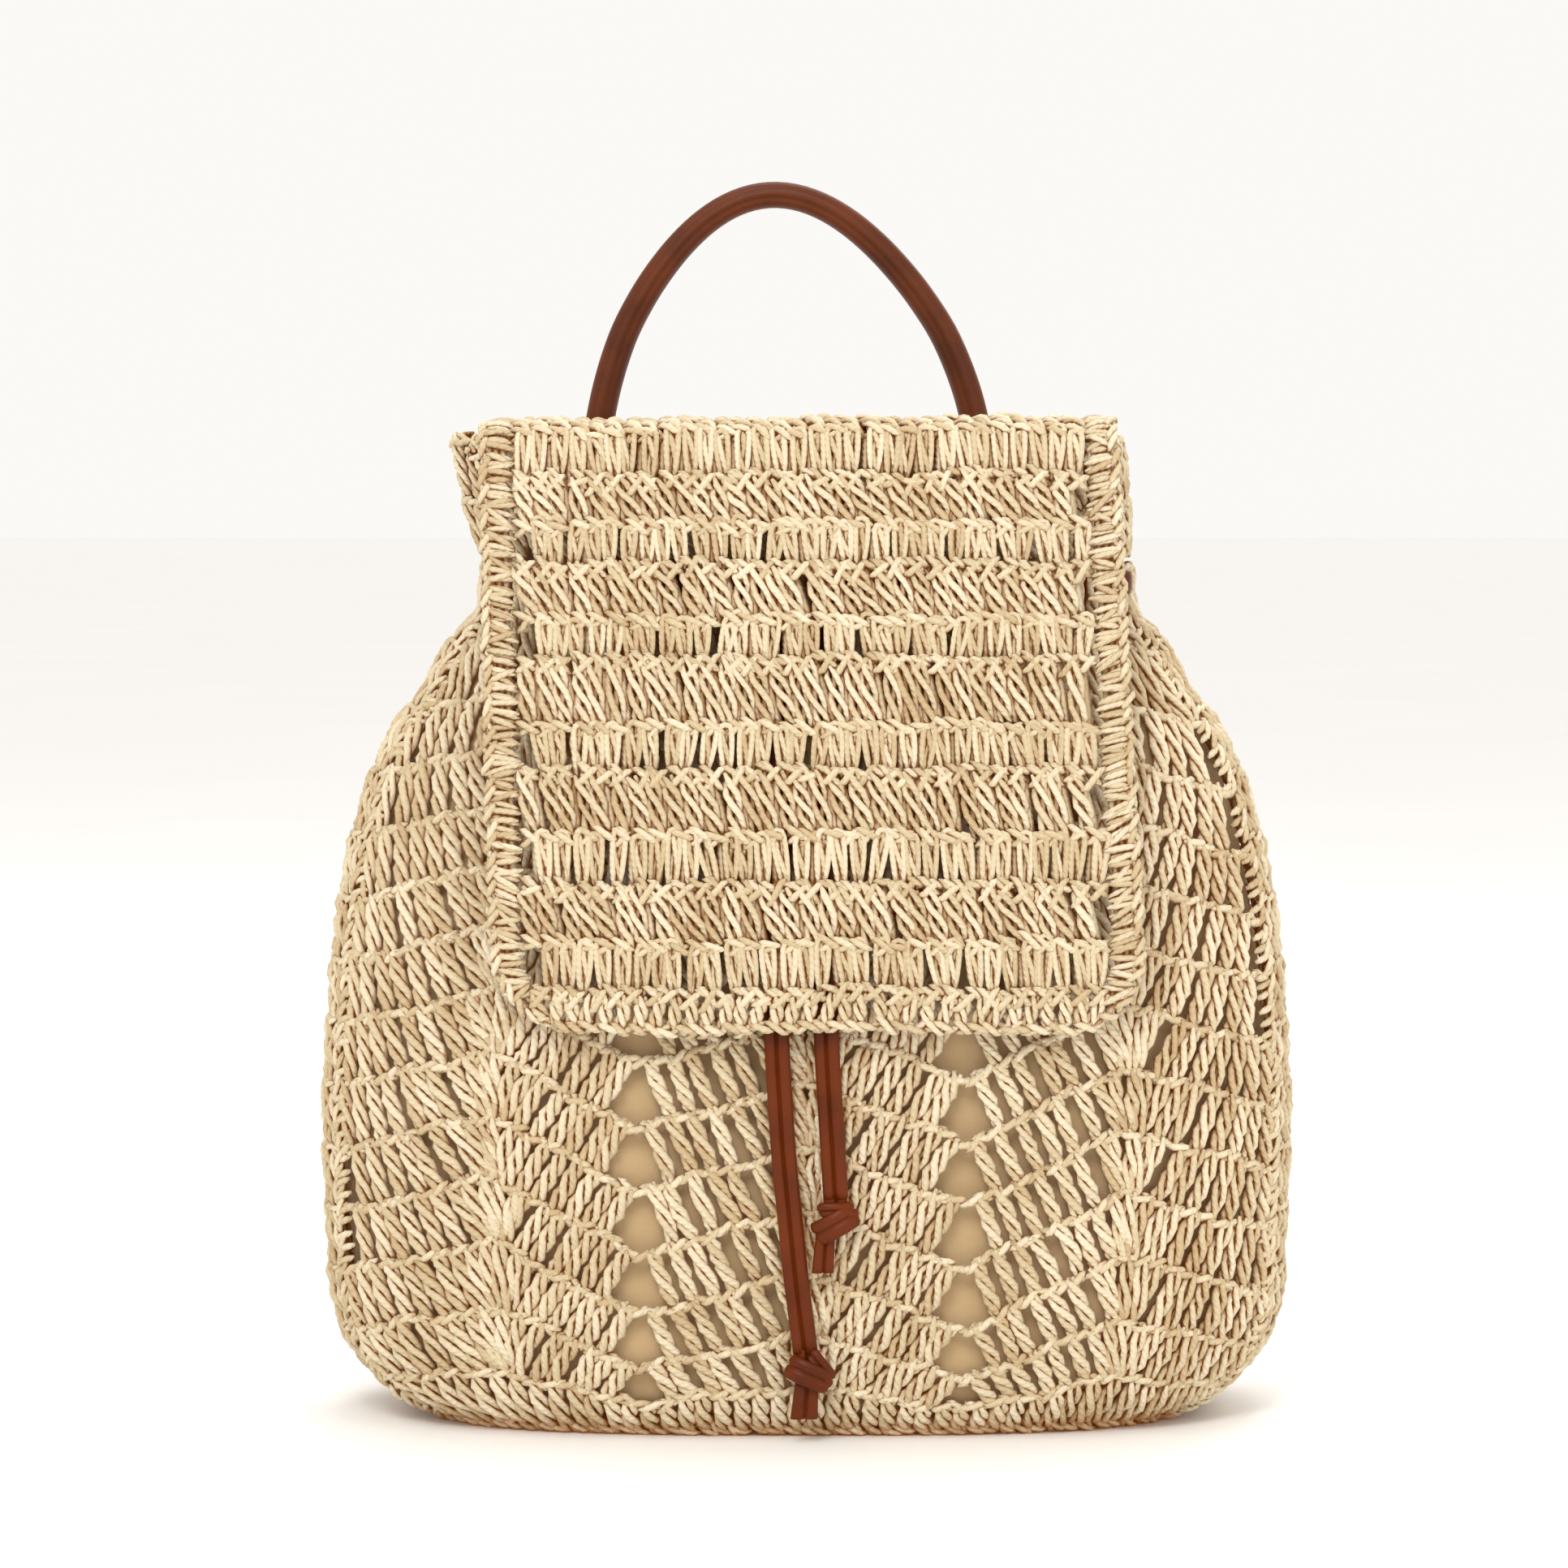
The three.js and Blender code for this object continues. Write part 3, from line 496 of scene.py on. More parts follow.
def grid_mesh(name, rings, closed=True):
    """A mesh through rings of points, (rings, around, 3), open at its first and last ring."""
    count, around = rings.shape[:2]
    k = np.arange(count - 1)[:, None] * around
    j = np.arange(around if closed else around - 1)[None]
    nxt = (j + 1) % around
    quads = np.stack(np.broadcast_arrays(k + j, k + nxt, k + around + nxt, k + around + j), -1)
    run = run_along(rings[:, 0]) / 10
    corner = np.array([(0, 0), (1, 0), (1, 1), (0, 1)])
    kk, jj = np.meshgrid(np.arange(count - 1), np.arange(j.size), indexing="ij")
    uvs = np.stack([(jj[..., None] + corner[:, 0]) / around, run[kk[..., None] + corner[:, 1]]], -1)
    return build_mesh(name, rings.reshape(-1, 3), quads.reshape(-1), np.full(quads.size // 4, 4),
                      uvs.reshape(-1, 2))


# Materials


COLOUR_A, COLOUR_B, COLOUR_RESULT = 6, 7, 2  # the colour sockets of a Mix node


def linear(code):
    """An sRGB hex colour as linear RGBA."""
    parts = [int(code[i:i + 2], 16) / 255 for i in (1, 3, 5)]
    return (*[p / 12.92 if p <= 0.04045 else ((p + 0.055) / 1.055) ** 2.4 for p in parts], 1.0)


def node(tree, kind, settings=None, links=None, stops=(), **sockets):
    """Adds a node with its settings, its links from outputs, its colour stops and its sockets' values."""
    made = tree.nodes.new(kind)
    for key, value in (settings or {}).items():
        setattr(made, key, value)
    for key, value in sockets.items():
        made.inputs[key.replace("_", " ")].default_value = value
    for key, source in (links or {}).items():
        tree.links.new(source, made.inputs[key])
    for index, (position, colour) in enumerate(stops):
        elements = made.color_ramp.elements
        if index == len(elements):
            elements.new(position)
        elements[index].position = position
        elements[index].color = colour
    return made


def new_material(name):
    """A material, its node tree and its shader."""
    material = bpy.data.materials.new(name)
    material.use_nodes = True
    return material, material.node_tree, material.node_tree.nodes["Principled BSDF"]


def straw_material(colours):
    """Twisted paper straw: matt, each cord a slightly different pale yellow, with painted shade on the
    cords' inward sides and in the gaps between them, and a painted brown glow in those gaps.
    """
    material, tree, shader = new_material("paper_straw_cord")
    shader.inputs["Roughness"].default_value = 0.62
    shader.inputs["IOR"].default_value = 1.45
    shader.inputs["Specular IOR Level"].default_value = 0.3
    # painted glow: the brown emission colour, switched on only in the gaps between cords
    shader.inputs["Emission Color"].default_value = linear("#8a5420")
    place_on = node(tree, "ShaderNodeTexCoord").outputs["Object"]
    tone = node(tree, "ShaderNodeAttribute", {"attribute_name": "tone"}).outputs["Fac"]
    uv = node(tree, "ShaderNodeUVMap", {"uv_map": "Cord"}).outputs["UV"]
    patches = node(tree, "ShaderNodeTexNoise", links={"Vector": place_on}, Scale=45.0, Detail=3.0)
    fibres = node(tree, "ShaderNodeTexNoise", links={"Vector": place_on}, Scale=900.0, Detail=2.0)
    mixed = node(tree, "ShaderNodeMix", {"data_type": "FLOAT"}, {
        "A": tone, "B": patches.outputs["Fac"]}, Factor=0.45)
    mixed = node(tree, "ShaderNodeMix", {"data_type": "FLOAT"}, {
        "A": mixed.outputs["Result"], "B": fibres.outputs["Fac"]}, Factor=0.25)
    colour = node(tree, "ShaderNodeValToRGB", links={"Fac": mixed.outputs["Result"]}, stops=[
        (0.15, linear(colours.straw_deep)), (0.45, linear(colours.straw)),
        (0.85, linear(colours.straw_pale))])
    # painted shade: the side of a cord that faces into the bag is made browner, as if in its own shadow
    inner = node(tree, "ShaderNodeAttribute", {"attribute_name": "inner"}).outputs["Fac"]
    inward_shade = node(tree, "ShaderNodeMapRange", links={"Value": inner}, From_Min=-0.25, From_Max=0.7)
    inward_shaded = node(tree, "ShaderNodeMix", {"data_type": "RGBA", "blend_type": "MULTIPLY"}, {
        "Factor": inward_shade.outputs["Result"], COLOUR_A: colour.outputs["Color"]})
    inward_shaded.inputs[COLOUR_B].default_value = linear("#bd8a4c")
    # painted shade and painted glow: where ambient occlusion finds a gap between cords, the colour is
    # darkened towards brown and a brown emission keeps the gap from going black, standing in for light
    # bounced between the cords
    open_sky = node(tree, "ShaderNodeAmbientOcclusion", {"samples": 6}, Distance=0.007)
    deep = node(tree, "ShaderNodeMapRange", links={"Value": open_sky.outputs["AO"]},
                From_Min=0.5, From_Max=0.08)
    gap_shaded = node(tree, "ShaderNodeMix", {"data_type": "RGBA", "blend_type": "MULTIPLY"}, {
        "Factor": deep.outputs["Result"], COLOUR_A: inward_shaded.outputs[COLOUR_RESULT]})
    gap_shaded.inputs[COLOUR_B].default_value = linear("#c98f4c")
    tree.links.new(gap_shaded.outputs[COLOUR_RESULT], shader.inputs["Base Color"])
    painted_glow = node(tree, "ShaderNodeMath", {"operation": "MULTIPLY"}, {0: deep.outputs["Result"]})
    painted_glow.inputs[1].default_value = 0.24
    tree.links.new(painted_glow.outputs["Value"], shader.inputs["Emission Strength"])
    # twisted plies: stripes 2 mm apart along the cord, which slant round it
    slanted = node(tree, "ShaderNodeMapping", links={"Vector": uv},
                   Rotation=(0, 0, math.radians(38)), Scale=(2.0, 5.0, 1.0))
    plies = node(tree, "ShaderNodeTexWave", {"wave_profile": "SIN"}, {
        "Vector": slanted.outputs["Vector"]}, Scale=0.5, Distortion=1.2, Detail=1.0)
    relief = node(tree, "ShaderNodeMix", {"data_type": "FLOAT"}, {
        "A": plies.outputs["Fac"], "B": fibres.outputs["Fac"]}, Factor=0.35)
    bumped = node(tree, "ShaderNodeBump", links={"Height": relief.outputs["Result"]},
                  Strength=0.6, Distance=0.0006)
    tree.links.new(bumped.outputs["Normal"], shader.inputs["Normal"])
    return material


def lining_material(colours):
    """Plain-woven cotton lining: matt, with a faint thread grid 0.6 mm apart."""
    material, tree, shader = new_material("plain_woven_cotton")
    shader.inputs["Roughness"].default_value = 0.88
    shader.inputs["IOR"].default_value = 1.45
    place_on = node(tree, "ShaderNodeTexCoord").outputs["Object"]
    patches = node(tree, "ShaderNodeTexNoise", links={"Vector": place_on}, Scale=14.0, Detail=2.0)
    base = linear(colours.lining)
    dark = tuple(c * 0.86 for c in base[:3]) + (1.0,)
    colour = node(tree, "ShaderNodeValToRGB", links={"Fac": patches.outputs["Fac"]},
                  stops=[(0.3, dark), (0.7, base)])
    tree.links.new(colour.outputs["Color"], shader.inputs["Base Color"])
    warp = node(tree, "ShaderNodeTexWave", {"bands_direction": "X"}, {"Vector": place_on},
                Scale=520.0, Distortion=0.5)
    weft = node(tree, "ShaderNodeTexWave", {"bands_direction": "Z"}, {"Vector": place_on},
                Scale=520.0, Distortion=0.5)
    both = node(tree, "ShaderNodeMix", {"data_type": "FLOAT"}, {
        "A": warp.outputs["Fac"], "B": weft.outputs["Fac"]}, Factor=0.5)
    bumped = node(tree, "ShaderNodeBump", links={"Height": both.outputs["Result"]},
                  Strength=0.25, Distance=0.0002)
    tree.links.new(bumped.outputs["Normal"], shader.inputs["Normal"])
    return material


def leather_material(name, code, roughness):
    """Smooth waxed cowhide: a soft sheen, fine grain about 0.9 mm across and darker rubbed patches."""
    material, tree, shader = new_material(name)
    shader.inputs["IOR"].default_value = 1.5
    shader.inputs["Specular IOR Level"].default_value = 0.18
    place_on = node(tree, "ShaderNodeTexCoord").outputs["Object"]
    patches = node(tree, "ShaderNodeTexNoise", links={"Vector": place_on}, Scale=60.0, Detail=4.0)
    grain = node(tree, "ShaderNodeTexVoronoi", {"feature": "SMOOTH_F1"}, {"Vector": place_on},
                 Scale=1100.0)
    creases = node(tree, "ShaderNodeTexNoise", links={"Vector": place_on}, Scale=420.0, Detail=3.0)
    base = linear(code)
    dark = tuple(c * 0.66 for c in base[:3]) + (1.0,)
    pale = tuple(min(c * 1.2, 1) for c in base[:3]) + (1.0,)
    colour = node(tree, "ShaderNodeValToRGB", links={"Fac": patches.outputs["Fac"]},
                  stops=[(0.3, dark), (0.52, base), (0.78, pale)])
    tree.links.new(colour.outputs["Color"], shader.inputs["Base Color"])
    rough = node(tree, "ShaderNodeMapRange", links={"Value": patches.outputs["Fac"]},
                 To_Min=roughness - 0.06, To_Max=roughness + 0.1)
    tree.links.new(rough.outputs["Result"], shader.inputs["Roughness"])
    relief = node(tree, "ShaderNodeMix", {"data_type": "FLOAT"}, {
        "A": grain.outputs["Distance"], "B": creases.outputs["Fac"]}, Factor=0.5)
    bumped = node(tree, "ShaderNodeBump", links={"Height": relief.outputs["Result"]},
                  Strength=0.22, Distance=0.0003)
    tree.links.new(bumped.outputs["Normal"], shader.inputs["Normal"])
    return material


def nickel_material():
    """Nickel-plated steel, tumbled: a clear mirror shine with faint scuffs."""
    material, tree, shader = new_material("nickel_plated_steel")
    shader.inputs["Metallic"].default_value = 1.0
    place_on = node(tree, "ShaderNodeTexCoord").outputs["Object"]
    scuffs = node(tree, "ShaderNodeTexNoise", links={"Vector": place_on}, Scale=700.0, Detail=4.0)
    colour = node(tree, "ShaderNodeValToRGB", links={"Fac": scuffs.outputs["Fac"]},
                  stops=[(0.35, linear("#a9a59c")), (0.65, linear("#cfccc4"))])
    tree.links.new(colour.outputs["Color"], shader.inputs["Base Color"])
    rough = node(tree, "ShaderNodeMapRange", links={"Value": scuffs.outputs["Fac"]},
                 To_Min=0.16, To_Max=0.34)
    tree.links.new(rough.outputs["Result"], shader.inputs["Roughness"])
    return material


def thread_material():
    """Waxed polyester thread: brown and slightly glossy, its twist about 0.7 mm apart."""
    material, tree, shader = new_material("waxed_thread")
    shader.inputs["Roughness"].default_value = 0.45
    place_on = node(tree, "ShaderNodeTexCoord").outputs["Object"]
    twist = node(tree, "ShaderNodeTexNoise", links={"Vector": place_on}, Scale=1500.0, Detail=1.0)
    colour = node(tree, "ShaderNodeValToRGB", links={"Fac": twist.outputs["Fac"]},
                  stops=[(0.3, linear("#4a2415")), (0.7, linear("#8a5030"))])
    tree.links.new(colour.outputs["Color"], shader.inputs["Base Color"])
    return material


def material(kind):
    """The bag's materials, each made once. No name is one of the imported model's own materials."""
    colours = bpy.context.scene.straw_bag_colours
    makers = {
        "paper_straw_cord": lambda: straw_material(colours),
        "plain_woven_cotton": lambda: lining_material(colours),
        "string_cowhide": lambda: leather_material("string_cowhide", colours.string, 0.38),
        "handle_cowhide": lambda: leather_material("handle_cowhide", colours.handle, 0.42),
        "strap_cowhide": lambda: leather_material("strap_cowhide", colours.strap, 0.45),
        "nickel_plated_steel": nickel_material,
        "waxed_thread": thread_material,
    }
    return bpy.data.materials.get(kind) or makers[kind]()


# Crochet of the body


def row_height(row, u):
    """Height of a row line: its level, the ripple and the unevenness of hand work."""
    uneven = 0.6 * np.sin(23 * u + 1.7 * row) + 0.45 * np.sin(47 * u + 2.9 * row)
    return ROW_LEVELS[row] + ROW_RIPPLE[row] * np.interp(u, RIPPLE_SHARES, RIPPLE_HEIGHTS) + uneven


def side_level(row):
    """Height of a row line where it crosses the gusset."""
    return ROW_LEVELS[row] - SIDE_DROP * ROW_RIPPLE[row]


def arc_table(surface, start, end, height):
    """Millimetres along a row at height(u) from u = start to u = end, and the u at each."""
    u = np.linspace(start, end, 60)
    return run_along(surface(u, height(u))), u


def panel_crochet(back, sizes):
    """The cords of the front or back panel."""
    work = Crochet(31 if back else 17)
    surface = panel_surface(back)
    radius = sizes.cord * TO_RADIUS
    steps = np.linspace(0, 1, 7)
    dense, loose = sizes.post_pitch * 1000, sizes.open_pitch * 1000
    for row in range(len(ROW_LEVELS) - 1):
        middle = (ROW_LEVELS[row] + ROW_LEVELS[row + 1]) / 2
        seam = float(seam_share(np.array([middle]))[0])
        spans = [  # fan, far end, stitch width, lean of the tops away from the fan in a span of 50 mm
            (-0.64, -seam, dense, 10.0, True), (-0.64, -0.345, dense, 11.0, False),
            (0.0, -0.345, loose, 8.0, False), (0.0, 0.32, dense, 11.0, False),
            (0.64, 0.32, loose, 8.0, False), (0.64, seam, dense, 10.0, True),
        ]
        for fan, end, pitch, lean, at_seam in spans:
            run, share = arc_table(
                surface, fan, end, lambda u: (row_height(row, u) + row_height(row + 1, u)) / 2)
            count = max(int(round(run[-1] / pitch)), 3)
            top = (np.arange(count) + 0.5) * run[-1] / count
            if at_seam and row in (RIGHT_SEAM_GAPS if end > 0 else LEFT_SEAM_GAPS):
                top = top[:-1]  # small gaps beside the seam, where the lining shows
            lean = lean * run[-1] / 50
            if at_seam:  # the last stitches stand upright beside the seam
                lean = lean * (1 - (top / run[-1]) ** 2)
            foot = np.maximum(top - lean, 0.35 + 0.28 * np.arange(len(top)))
            top = top + work.random.normal(0, 0.5, len(top))
            foot = np.maximum(foot + work.random.normal(0, 0.4, len(top)), 0.2)
            d = foot[:, None] + (top - foot)[:, None] * steps[None]
            u = np.interp(d, run, share)
            z0 = row_height(row, u[:, :1]) - 0.9 + work.random.normal(0, 0.4, (len(top), 1))
            z1 = row_height(row + 1, u[:, -1:]) + 1.2 + work.random.normal(0, 0.5, (len(top), 1))
            v = z0 + (z1 - z0) * steps[None]
            p, n = with_normals(surface, u, v, du=0.004)
            plain = back or (row > 6 and not at_seam)  # two strands where little is seen of them
            spread = radius * (1.85 if pitch == dense else 1.5)
            work.posts(p, n, radius * 1.1, spread, 1.05, phase=0.6, strands=2 if plain else 3,
                       wobble=0.45)
    # upright band between the lowest row line and the seam round the bottom
    run, share = arc_table(surface, -0.93, 0.93, lambda u: row_height(0, u) * 0.5)
    count = int(round(run[-1] / dense))
    top = (np.arange(count) + 0.5) * run[-1] / count
    u_top = np.interp(top, run, share)
    z_top = row_height(0, u_top)
    z_foot = np.full(count, 1.2)
    for _ in range(12):  # the foot stands on the seam, which climbs the rounded corner
        over = np.abs(u_top) - seam_share(z_foot) + 0.015
        z_foot = np.clip(z_foot + np.where(over > 0, over * 90, 0), 1.2, z_top - 4)
    v = z_foot[:, None] + (z_top - z_foot)[:, None] * steps[None]
    u = u_top[:, None] * (1 - 0.02 * (1 - steps[None]))
    p, n = with_normals(surface, u, v, du=0.004)
    work.posts(p, n, radius * 1.1, radius * 1.8, 0.9, phase=0.3, strands=3, wobble=0.4)
    # row lines: chains along the tops of the stitches
    for row in range(len(ROW_LEVELS)):
        edge = float(seam_share(np.array([ROW_LEVELS[row] - SIDE_DROP]))[0])
        u = np.linspace(-edge, edge, 260)
        p, n = with_normals(surface, u, row_height(row, u), du=0.004)
        work.strokes(p, n, 5.2, 7.4, 1.0, 0.5, radius * 1.12, slant=-1.0)
        work.strokes(p, n, 5.6, 7.0, 0.8, 0.0, radius * 1.1, slant=1.0, sides=4)
    return work


def seam_line(surface):
    """The seam round a panel: down one side, along the bottom and up the other side."""
    down = np.concatenate([np.linspace(262, 46, 120), np.linspace(45, 3, 60)])
    side_u = seam_share(down)
    across = np.linspace(side_u[-1], -side_u[-1], 120)
    u = np.concatenate([side_u, across, -side_u[::-1]])
    v = np.concatenate([down, np.full(120, 2.6), down[::-1]])
    p = surface(u, v)
    centre = np.stack([p[:, 0] * 0.5, np.zeros(len(p)), np.maximum(p[:, 2], 45)], -1)
    out = p - centre
    out[:, 1] *= 1.4
    return p, unit(out)


class STRAWBAG_OT_camera(bpy.types.Operator):
    """Set the camera, the pale floor that the bag stands on and the soft studio lights"""
    bl_idname = "strawbag.camera"
    bl_label = "Camera, Floor and Lights"

    def execute(self, context):
        scene = context.scene
        data = bpy.data.cameras.new("camera")
        data.lens, data.sensor_width = CAMERA_LENS, 36.0
        camera = bpy.data.objects.new("camera", data)
        camera.location = CAMERA_PLACE
        camera.rotation_euler = (math.radians(90 - CAMERA_PITCH), 0, 0)
        scene.collection.objects.link(camera)
        scene.camera = camera
        edges = (-FLOOR_REACH, FLOOR_REACH)
        rings = np.array([[(x, y, 0.0) for x in edges] for y in edges])
        floor = bpy.data.objects.new("floor", grid_mesh("floor", rings, closed=False))
        finish, tree, shader = new_material("pale_painted_floor")
        shader.inputs["Roughness"].default_value = 0.7
        spots = node(tree, "ShaderNodeTexNoise", links={
            "Vector": node(tree, "ShaderNodeTexCoord").outputs["Object"]}, Scale=3.0)
        colour = node(tree, "ShaderNodeValToRGB", links={"Fac": spots.outputs["Fac"]},
                      stops=[(0.3, linear("#fbf9f7")), (0.7, linear("#fdfcfa"))])
        tree.links.new(colour.outputs["Color"], shader.inputs["Base Color"])
        floor.data.materials.append(finish)
        scene.collection.objects.link(floor)
        for name, spot, aim, size, power in LIGHTS:
            light = bpy.data.lights.new(name, "AREA")
            light.size, light.energy = size, power
            lamp = bpy.data.objects.new(name, light)
            lamp.location = spot
            lamp.rotation_euler = (Vector(aim) - Vector(spot)).to_track_quat("-Z", "Y").to_euler()
            scene.collection.objects.link(lamp)
        world = scene.world or bpy.data.worlds.new("studio")
        scene.world = world
        world.use_nodes = True
        sky = world.node_tree.nodes["Background"]
        sky.inputs["Color"].default_value = (1, 0.98, 0.95, 1)
        sky.inputs["Strength"].default_value = 0.97
        scene.view_settings.view_transform = "Standard"
        return {"FINISHED"}


def swept_strip(name, path, wide_axis, section, scale=1.0):
    """A closed strip: section (points of width, thickness) swept along path, (steps, 3), and scaled."""
    tangent = unit(np.gradient(path, axis=0))
    wide = unit(wide_axis - tangent * np.sum(wide_axis * tangent, axis=1, keepdims=True))
    out = np.cross(wide, tangent)
    scale = np.broadcast_to(scale, len(path))[:, None, None]
    rings = (path[:, None] + wide[:, None] * (section[None, :, :1] * scale)
             + out[:, None] * section[None, :, 1:2] * scale)
    return join_rings(name, [rings])


def dense_route(points, count):
    """So many even points along a smooth curve through the given ones."""
    points = np.asarray(points, float)
    padded = np.vstack([2 * points[0] - points[1], points, 2 * points[-1] - points[-2]])
    out = []
    for i in range(len(points) - 1):
        x0, x1, x2, x3 = padded[i:i + 4]
        d0, d1, d2 = [max(np.linalg.norm(b - a) ** 0.5, 1e-4) for a, b in ((x0, x1), (x1, x2), (x2, x3))]
        m1 = ((x1 - x0) / d0 - (x2 - x0) / (d0 + d1) + (x2 - x1) / d1) * d1
        m2 = ((x2 - x1) / d1 - (x3 - x1) / (d1 + d2) + (x3 - x2) / d2) * d1
        t = np.linspace(0, 1, 24, endpoint=False)[:, None]
        out.append(x1 + m1 * t + (-3 * x1 + 3 * x2 - 2 * m1 - m2) * t ** 2
                   + (2 * x1 - 2 * x2 + m1 + m2) * t ** 3)
    fine = np.vstack([*out, points[-1:]])
    run = run_along(fine)
    return taken_at(np.linspace(0, run[-1], count), run, fine)


def folded_strip_section(width, thick):
    """A strip folded and stitched lengthwise: a broad round side, a groove and a narrow ridge."""
    a = width / 2
    face = [(-1, 0), (-0.95, 0.5), (-0.78, 0.88), (-0.5, 1.0), (-0.2, 0.85), (-0.02, 0.5), (0.06, 0.05),
            (0.14, 0.5), (0.34, 0.86), (0.6, 0.88), (0.84, 0.6), (0.97, 0.3), (1, -0.1)]
    rear = [(0.9, -0.8), (0.5, -0.95), (-0.5, -0.95), (-0.92, -0.75)]
    return np.array([(x * a, y * thick / 2) for x, y in face + rear])


def knot_mesh(name, at, tilt, stub_at, stub_width, stub_drop, tail_end):
    """A pulled overhand knot: a slanting turn of the strip, a second one behind it and the cut end."""
    at = np.array(at, float)
    parts = []
    c, s = math.cos(math.radians(tilt)), math.sin(math.radians(tilt))
    across, up = np.array([c, 0, s]), np.array([-s, 0, c])
    depth = np.array([0, 1.0, 0])

    def band(turn_from, turn_to, half, deep, wide, thick, shift, lean, steps=26):
        a = np.linspace(math.radians(turn_from), math.radians(turn_to), steps)
        centre = (at + shift + across * (np.cos(a) * half)[:, None] + depth * (np.sin(a) * deep)[:, None]
                  + up * (lean * np.cos(a))[:, None])
        outward = unit(across * (np.cos(a) / half)[:, None] + depth * (np.sin(a) / deep)[:, None])
        section = folded_strip_section(wide, thick)
        ends = 0.7 + 0.3 * np.clip(np.minimum(np.arange(steps), steps - 1 - np.arange(steps)) / 2.5, 0, 1)
        crown = 0.3 * (1 - (section[:, 0] / (wide / 2)) ** 2)
        parts.append(centre[:, None] + up * section[None, :, :1] * ends[:, None, None]
                     + outward[:, None] * (section[:, 1] + crown)[None, :, None])

    band(-205, 35, 5.9, 2.9, 7.6, 2.2, np.array([0, 0, 0]), 0.0)
    band(-150, 10, 4.4, 2.2, 6.0, 2.0, up * 3.4 + across * 2.2 + depth * 0.5, -2.4, 18)
    stub_at = np.array(stub_at, float)
    top, low = stub_at + np.array([0.6, 0, 9.5]), stub_at - np.array([0.3, 0.3, stub_drop / 2 - 2])
    t = np.linspace(0, 1, 8)[:, None]

    def straight(path, section):
        parts.append(path[:, None] + section[:, :, :1] * np.array([1, 0, 0])
                     + section[:, :, 1:2] * np.array([0, -1, 0]))

    flare = np.stack([0.86 + 0.14 * t, np.ones((8, 1))], -1)  # the cut end is a little wider
    straight(top * (1 - t) + low * t, folded_strip_section(stub_width, STRING_THICK * 0.78)[None] * flare)
    # the tail's own end goes down into the knot
    end = np.array(tail_end, float)
    straight(end * (1 - t) + (at + np.array([0, 0.4, -1.0])) * t,
             folded_strip_section(7.2, STRING_THICK * 0.9)[None])
    return join_rings(name, parts)


def join_rings(name, parts):
    """One mesh from bodies of rings, (rings, around, 3), each closed at its two ends."""
    points, loops, sizes, uvs, count = [], [], [], [], 0
    for rings in parts:
        k, around = rings.shape[:2]
        i = np.arange(k - 1)[:, None] * around
        j = np.arange(around)[None]
        nxt = (j + 1) % around
        quads = np.stack(np.broadcast_arrays(i + j, i + nxt, i + around + nxt, i + around + j), -1)
        quads = quads.reshape(-1, 4)
        ends = np.arange(around)
        first, last = ends[::-1], (k - 1) * around + ends
        if ring_volume(rings) < 0:
            quads, first, last = quads[:, ::-1], first[::-1], last[::-1]
        loops += [quads.reshape(-1) + count, first + count, last + count]
        sizes += [np.full(len(quads), 4), np.array([around, around])]
        u = (j[..., None] + np.array([0, 0, 1, 1])) / around
        v = np.arange(k - 1)[:, None, None] * 0.2 + np.array([0, 0.2, 0.2, 0])
        uvs += [np.stack(np.broadcast_arrays(u, v), -1).reshape(-1, 2), np.zeros((2 * around, 2))]
        points.append(rings.reshape(-1, 3))
        count += k * around
    return build_mesh(name, np.concatenate(points), np.concatenate(loops), np.concatenate(sizes),
                      np.concatenate(uvs))


def ring_volume(rings):
    """Positive when the rings run counter-clockwise round the way they advance."""
    a, b = rings[:, :-1], rings[:, 1:]
    centre = rings.mean(1, keepdims=True)
    area = np.cross(a - centre, b - centre).sum(1)
    forward = np.gradient(centre[:, 0], axis=0)
    return float((area * forward).sum())


class STRAWBAG_OT_drawstring(bpy.types.Operator):
    """Make the leather drawstring: the loop round the neck, its two hanging tails and their knots"""
    bl_idname = "strawbag.drawstring"
    bl_label = "Drawstring"

    def execute(self, context):
        sizes = context.scene.straw_bag_sizes
        width = sizes.string_width * 1000
        leather = material("string_cowhide")
        for side, route in (("left", LEFT_TAIL), ("right", RIGHT_TAIL)):
            knot_name = f"knot_{side}_wrapped"
            knot = place(knot_name, knot_mesh(knot_name, *KNOTS[side]), leather, "leather",
                         f"knot_{side}")
            path = dense_route(route, 60)
            mesh = swept_strip(f"tail_{side}", path, np.tile([-1.0, 0, 0], (60, 1)),
                               folded_strip_section(width, STRING_THICK * 0.95))
            tail = place(f"tail_{side}", mesh, leather, "leather", f"drawstring_tail_{side}")
        # the loop weaves in and out of the stitches, and both its ends drop to the tails
        angle = np.linspace(-math.pi / 2 + 0.17, math.pi * 1.5 - 0.17, 160)
        weave = 1.1 + 2.2 * np.cos(10 * (angle + math.pi / 2)) - 3.2 * np.cos(angle) ** 4
        level = np.full(160, STRING_LEVEL)
        at_neck = body_point(angle, level)
        ring = at_neck + (body_point(angle, level, 1.0) - at_neck) * weave[:, None]
        ring[:, 2] += 0.5 * np.sin(angle * 9)
        drops = [np.array([(sign * 5.9, ring[0, 1] - 0.4, NECK - 7.4), (sign * 5.2, -36.0, 254.4)])
                 for sign in (1, -1)]
        path = dense_route(np.vstack([drops[0][::-1], ring, drops[1]]), 190)
        loop = swept_strip("neck_string", path, np.tile([0.0, 0, 1], (190, 1)),
                           folded_strip_section(7.0, 2.6))
        place("neck_string", loop, leather, "leather", "drawstring_loop")
        return {"FINISHED"}


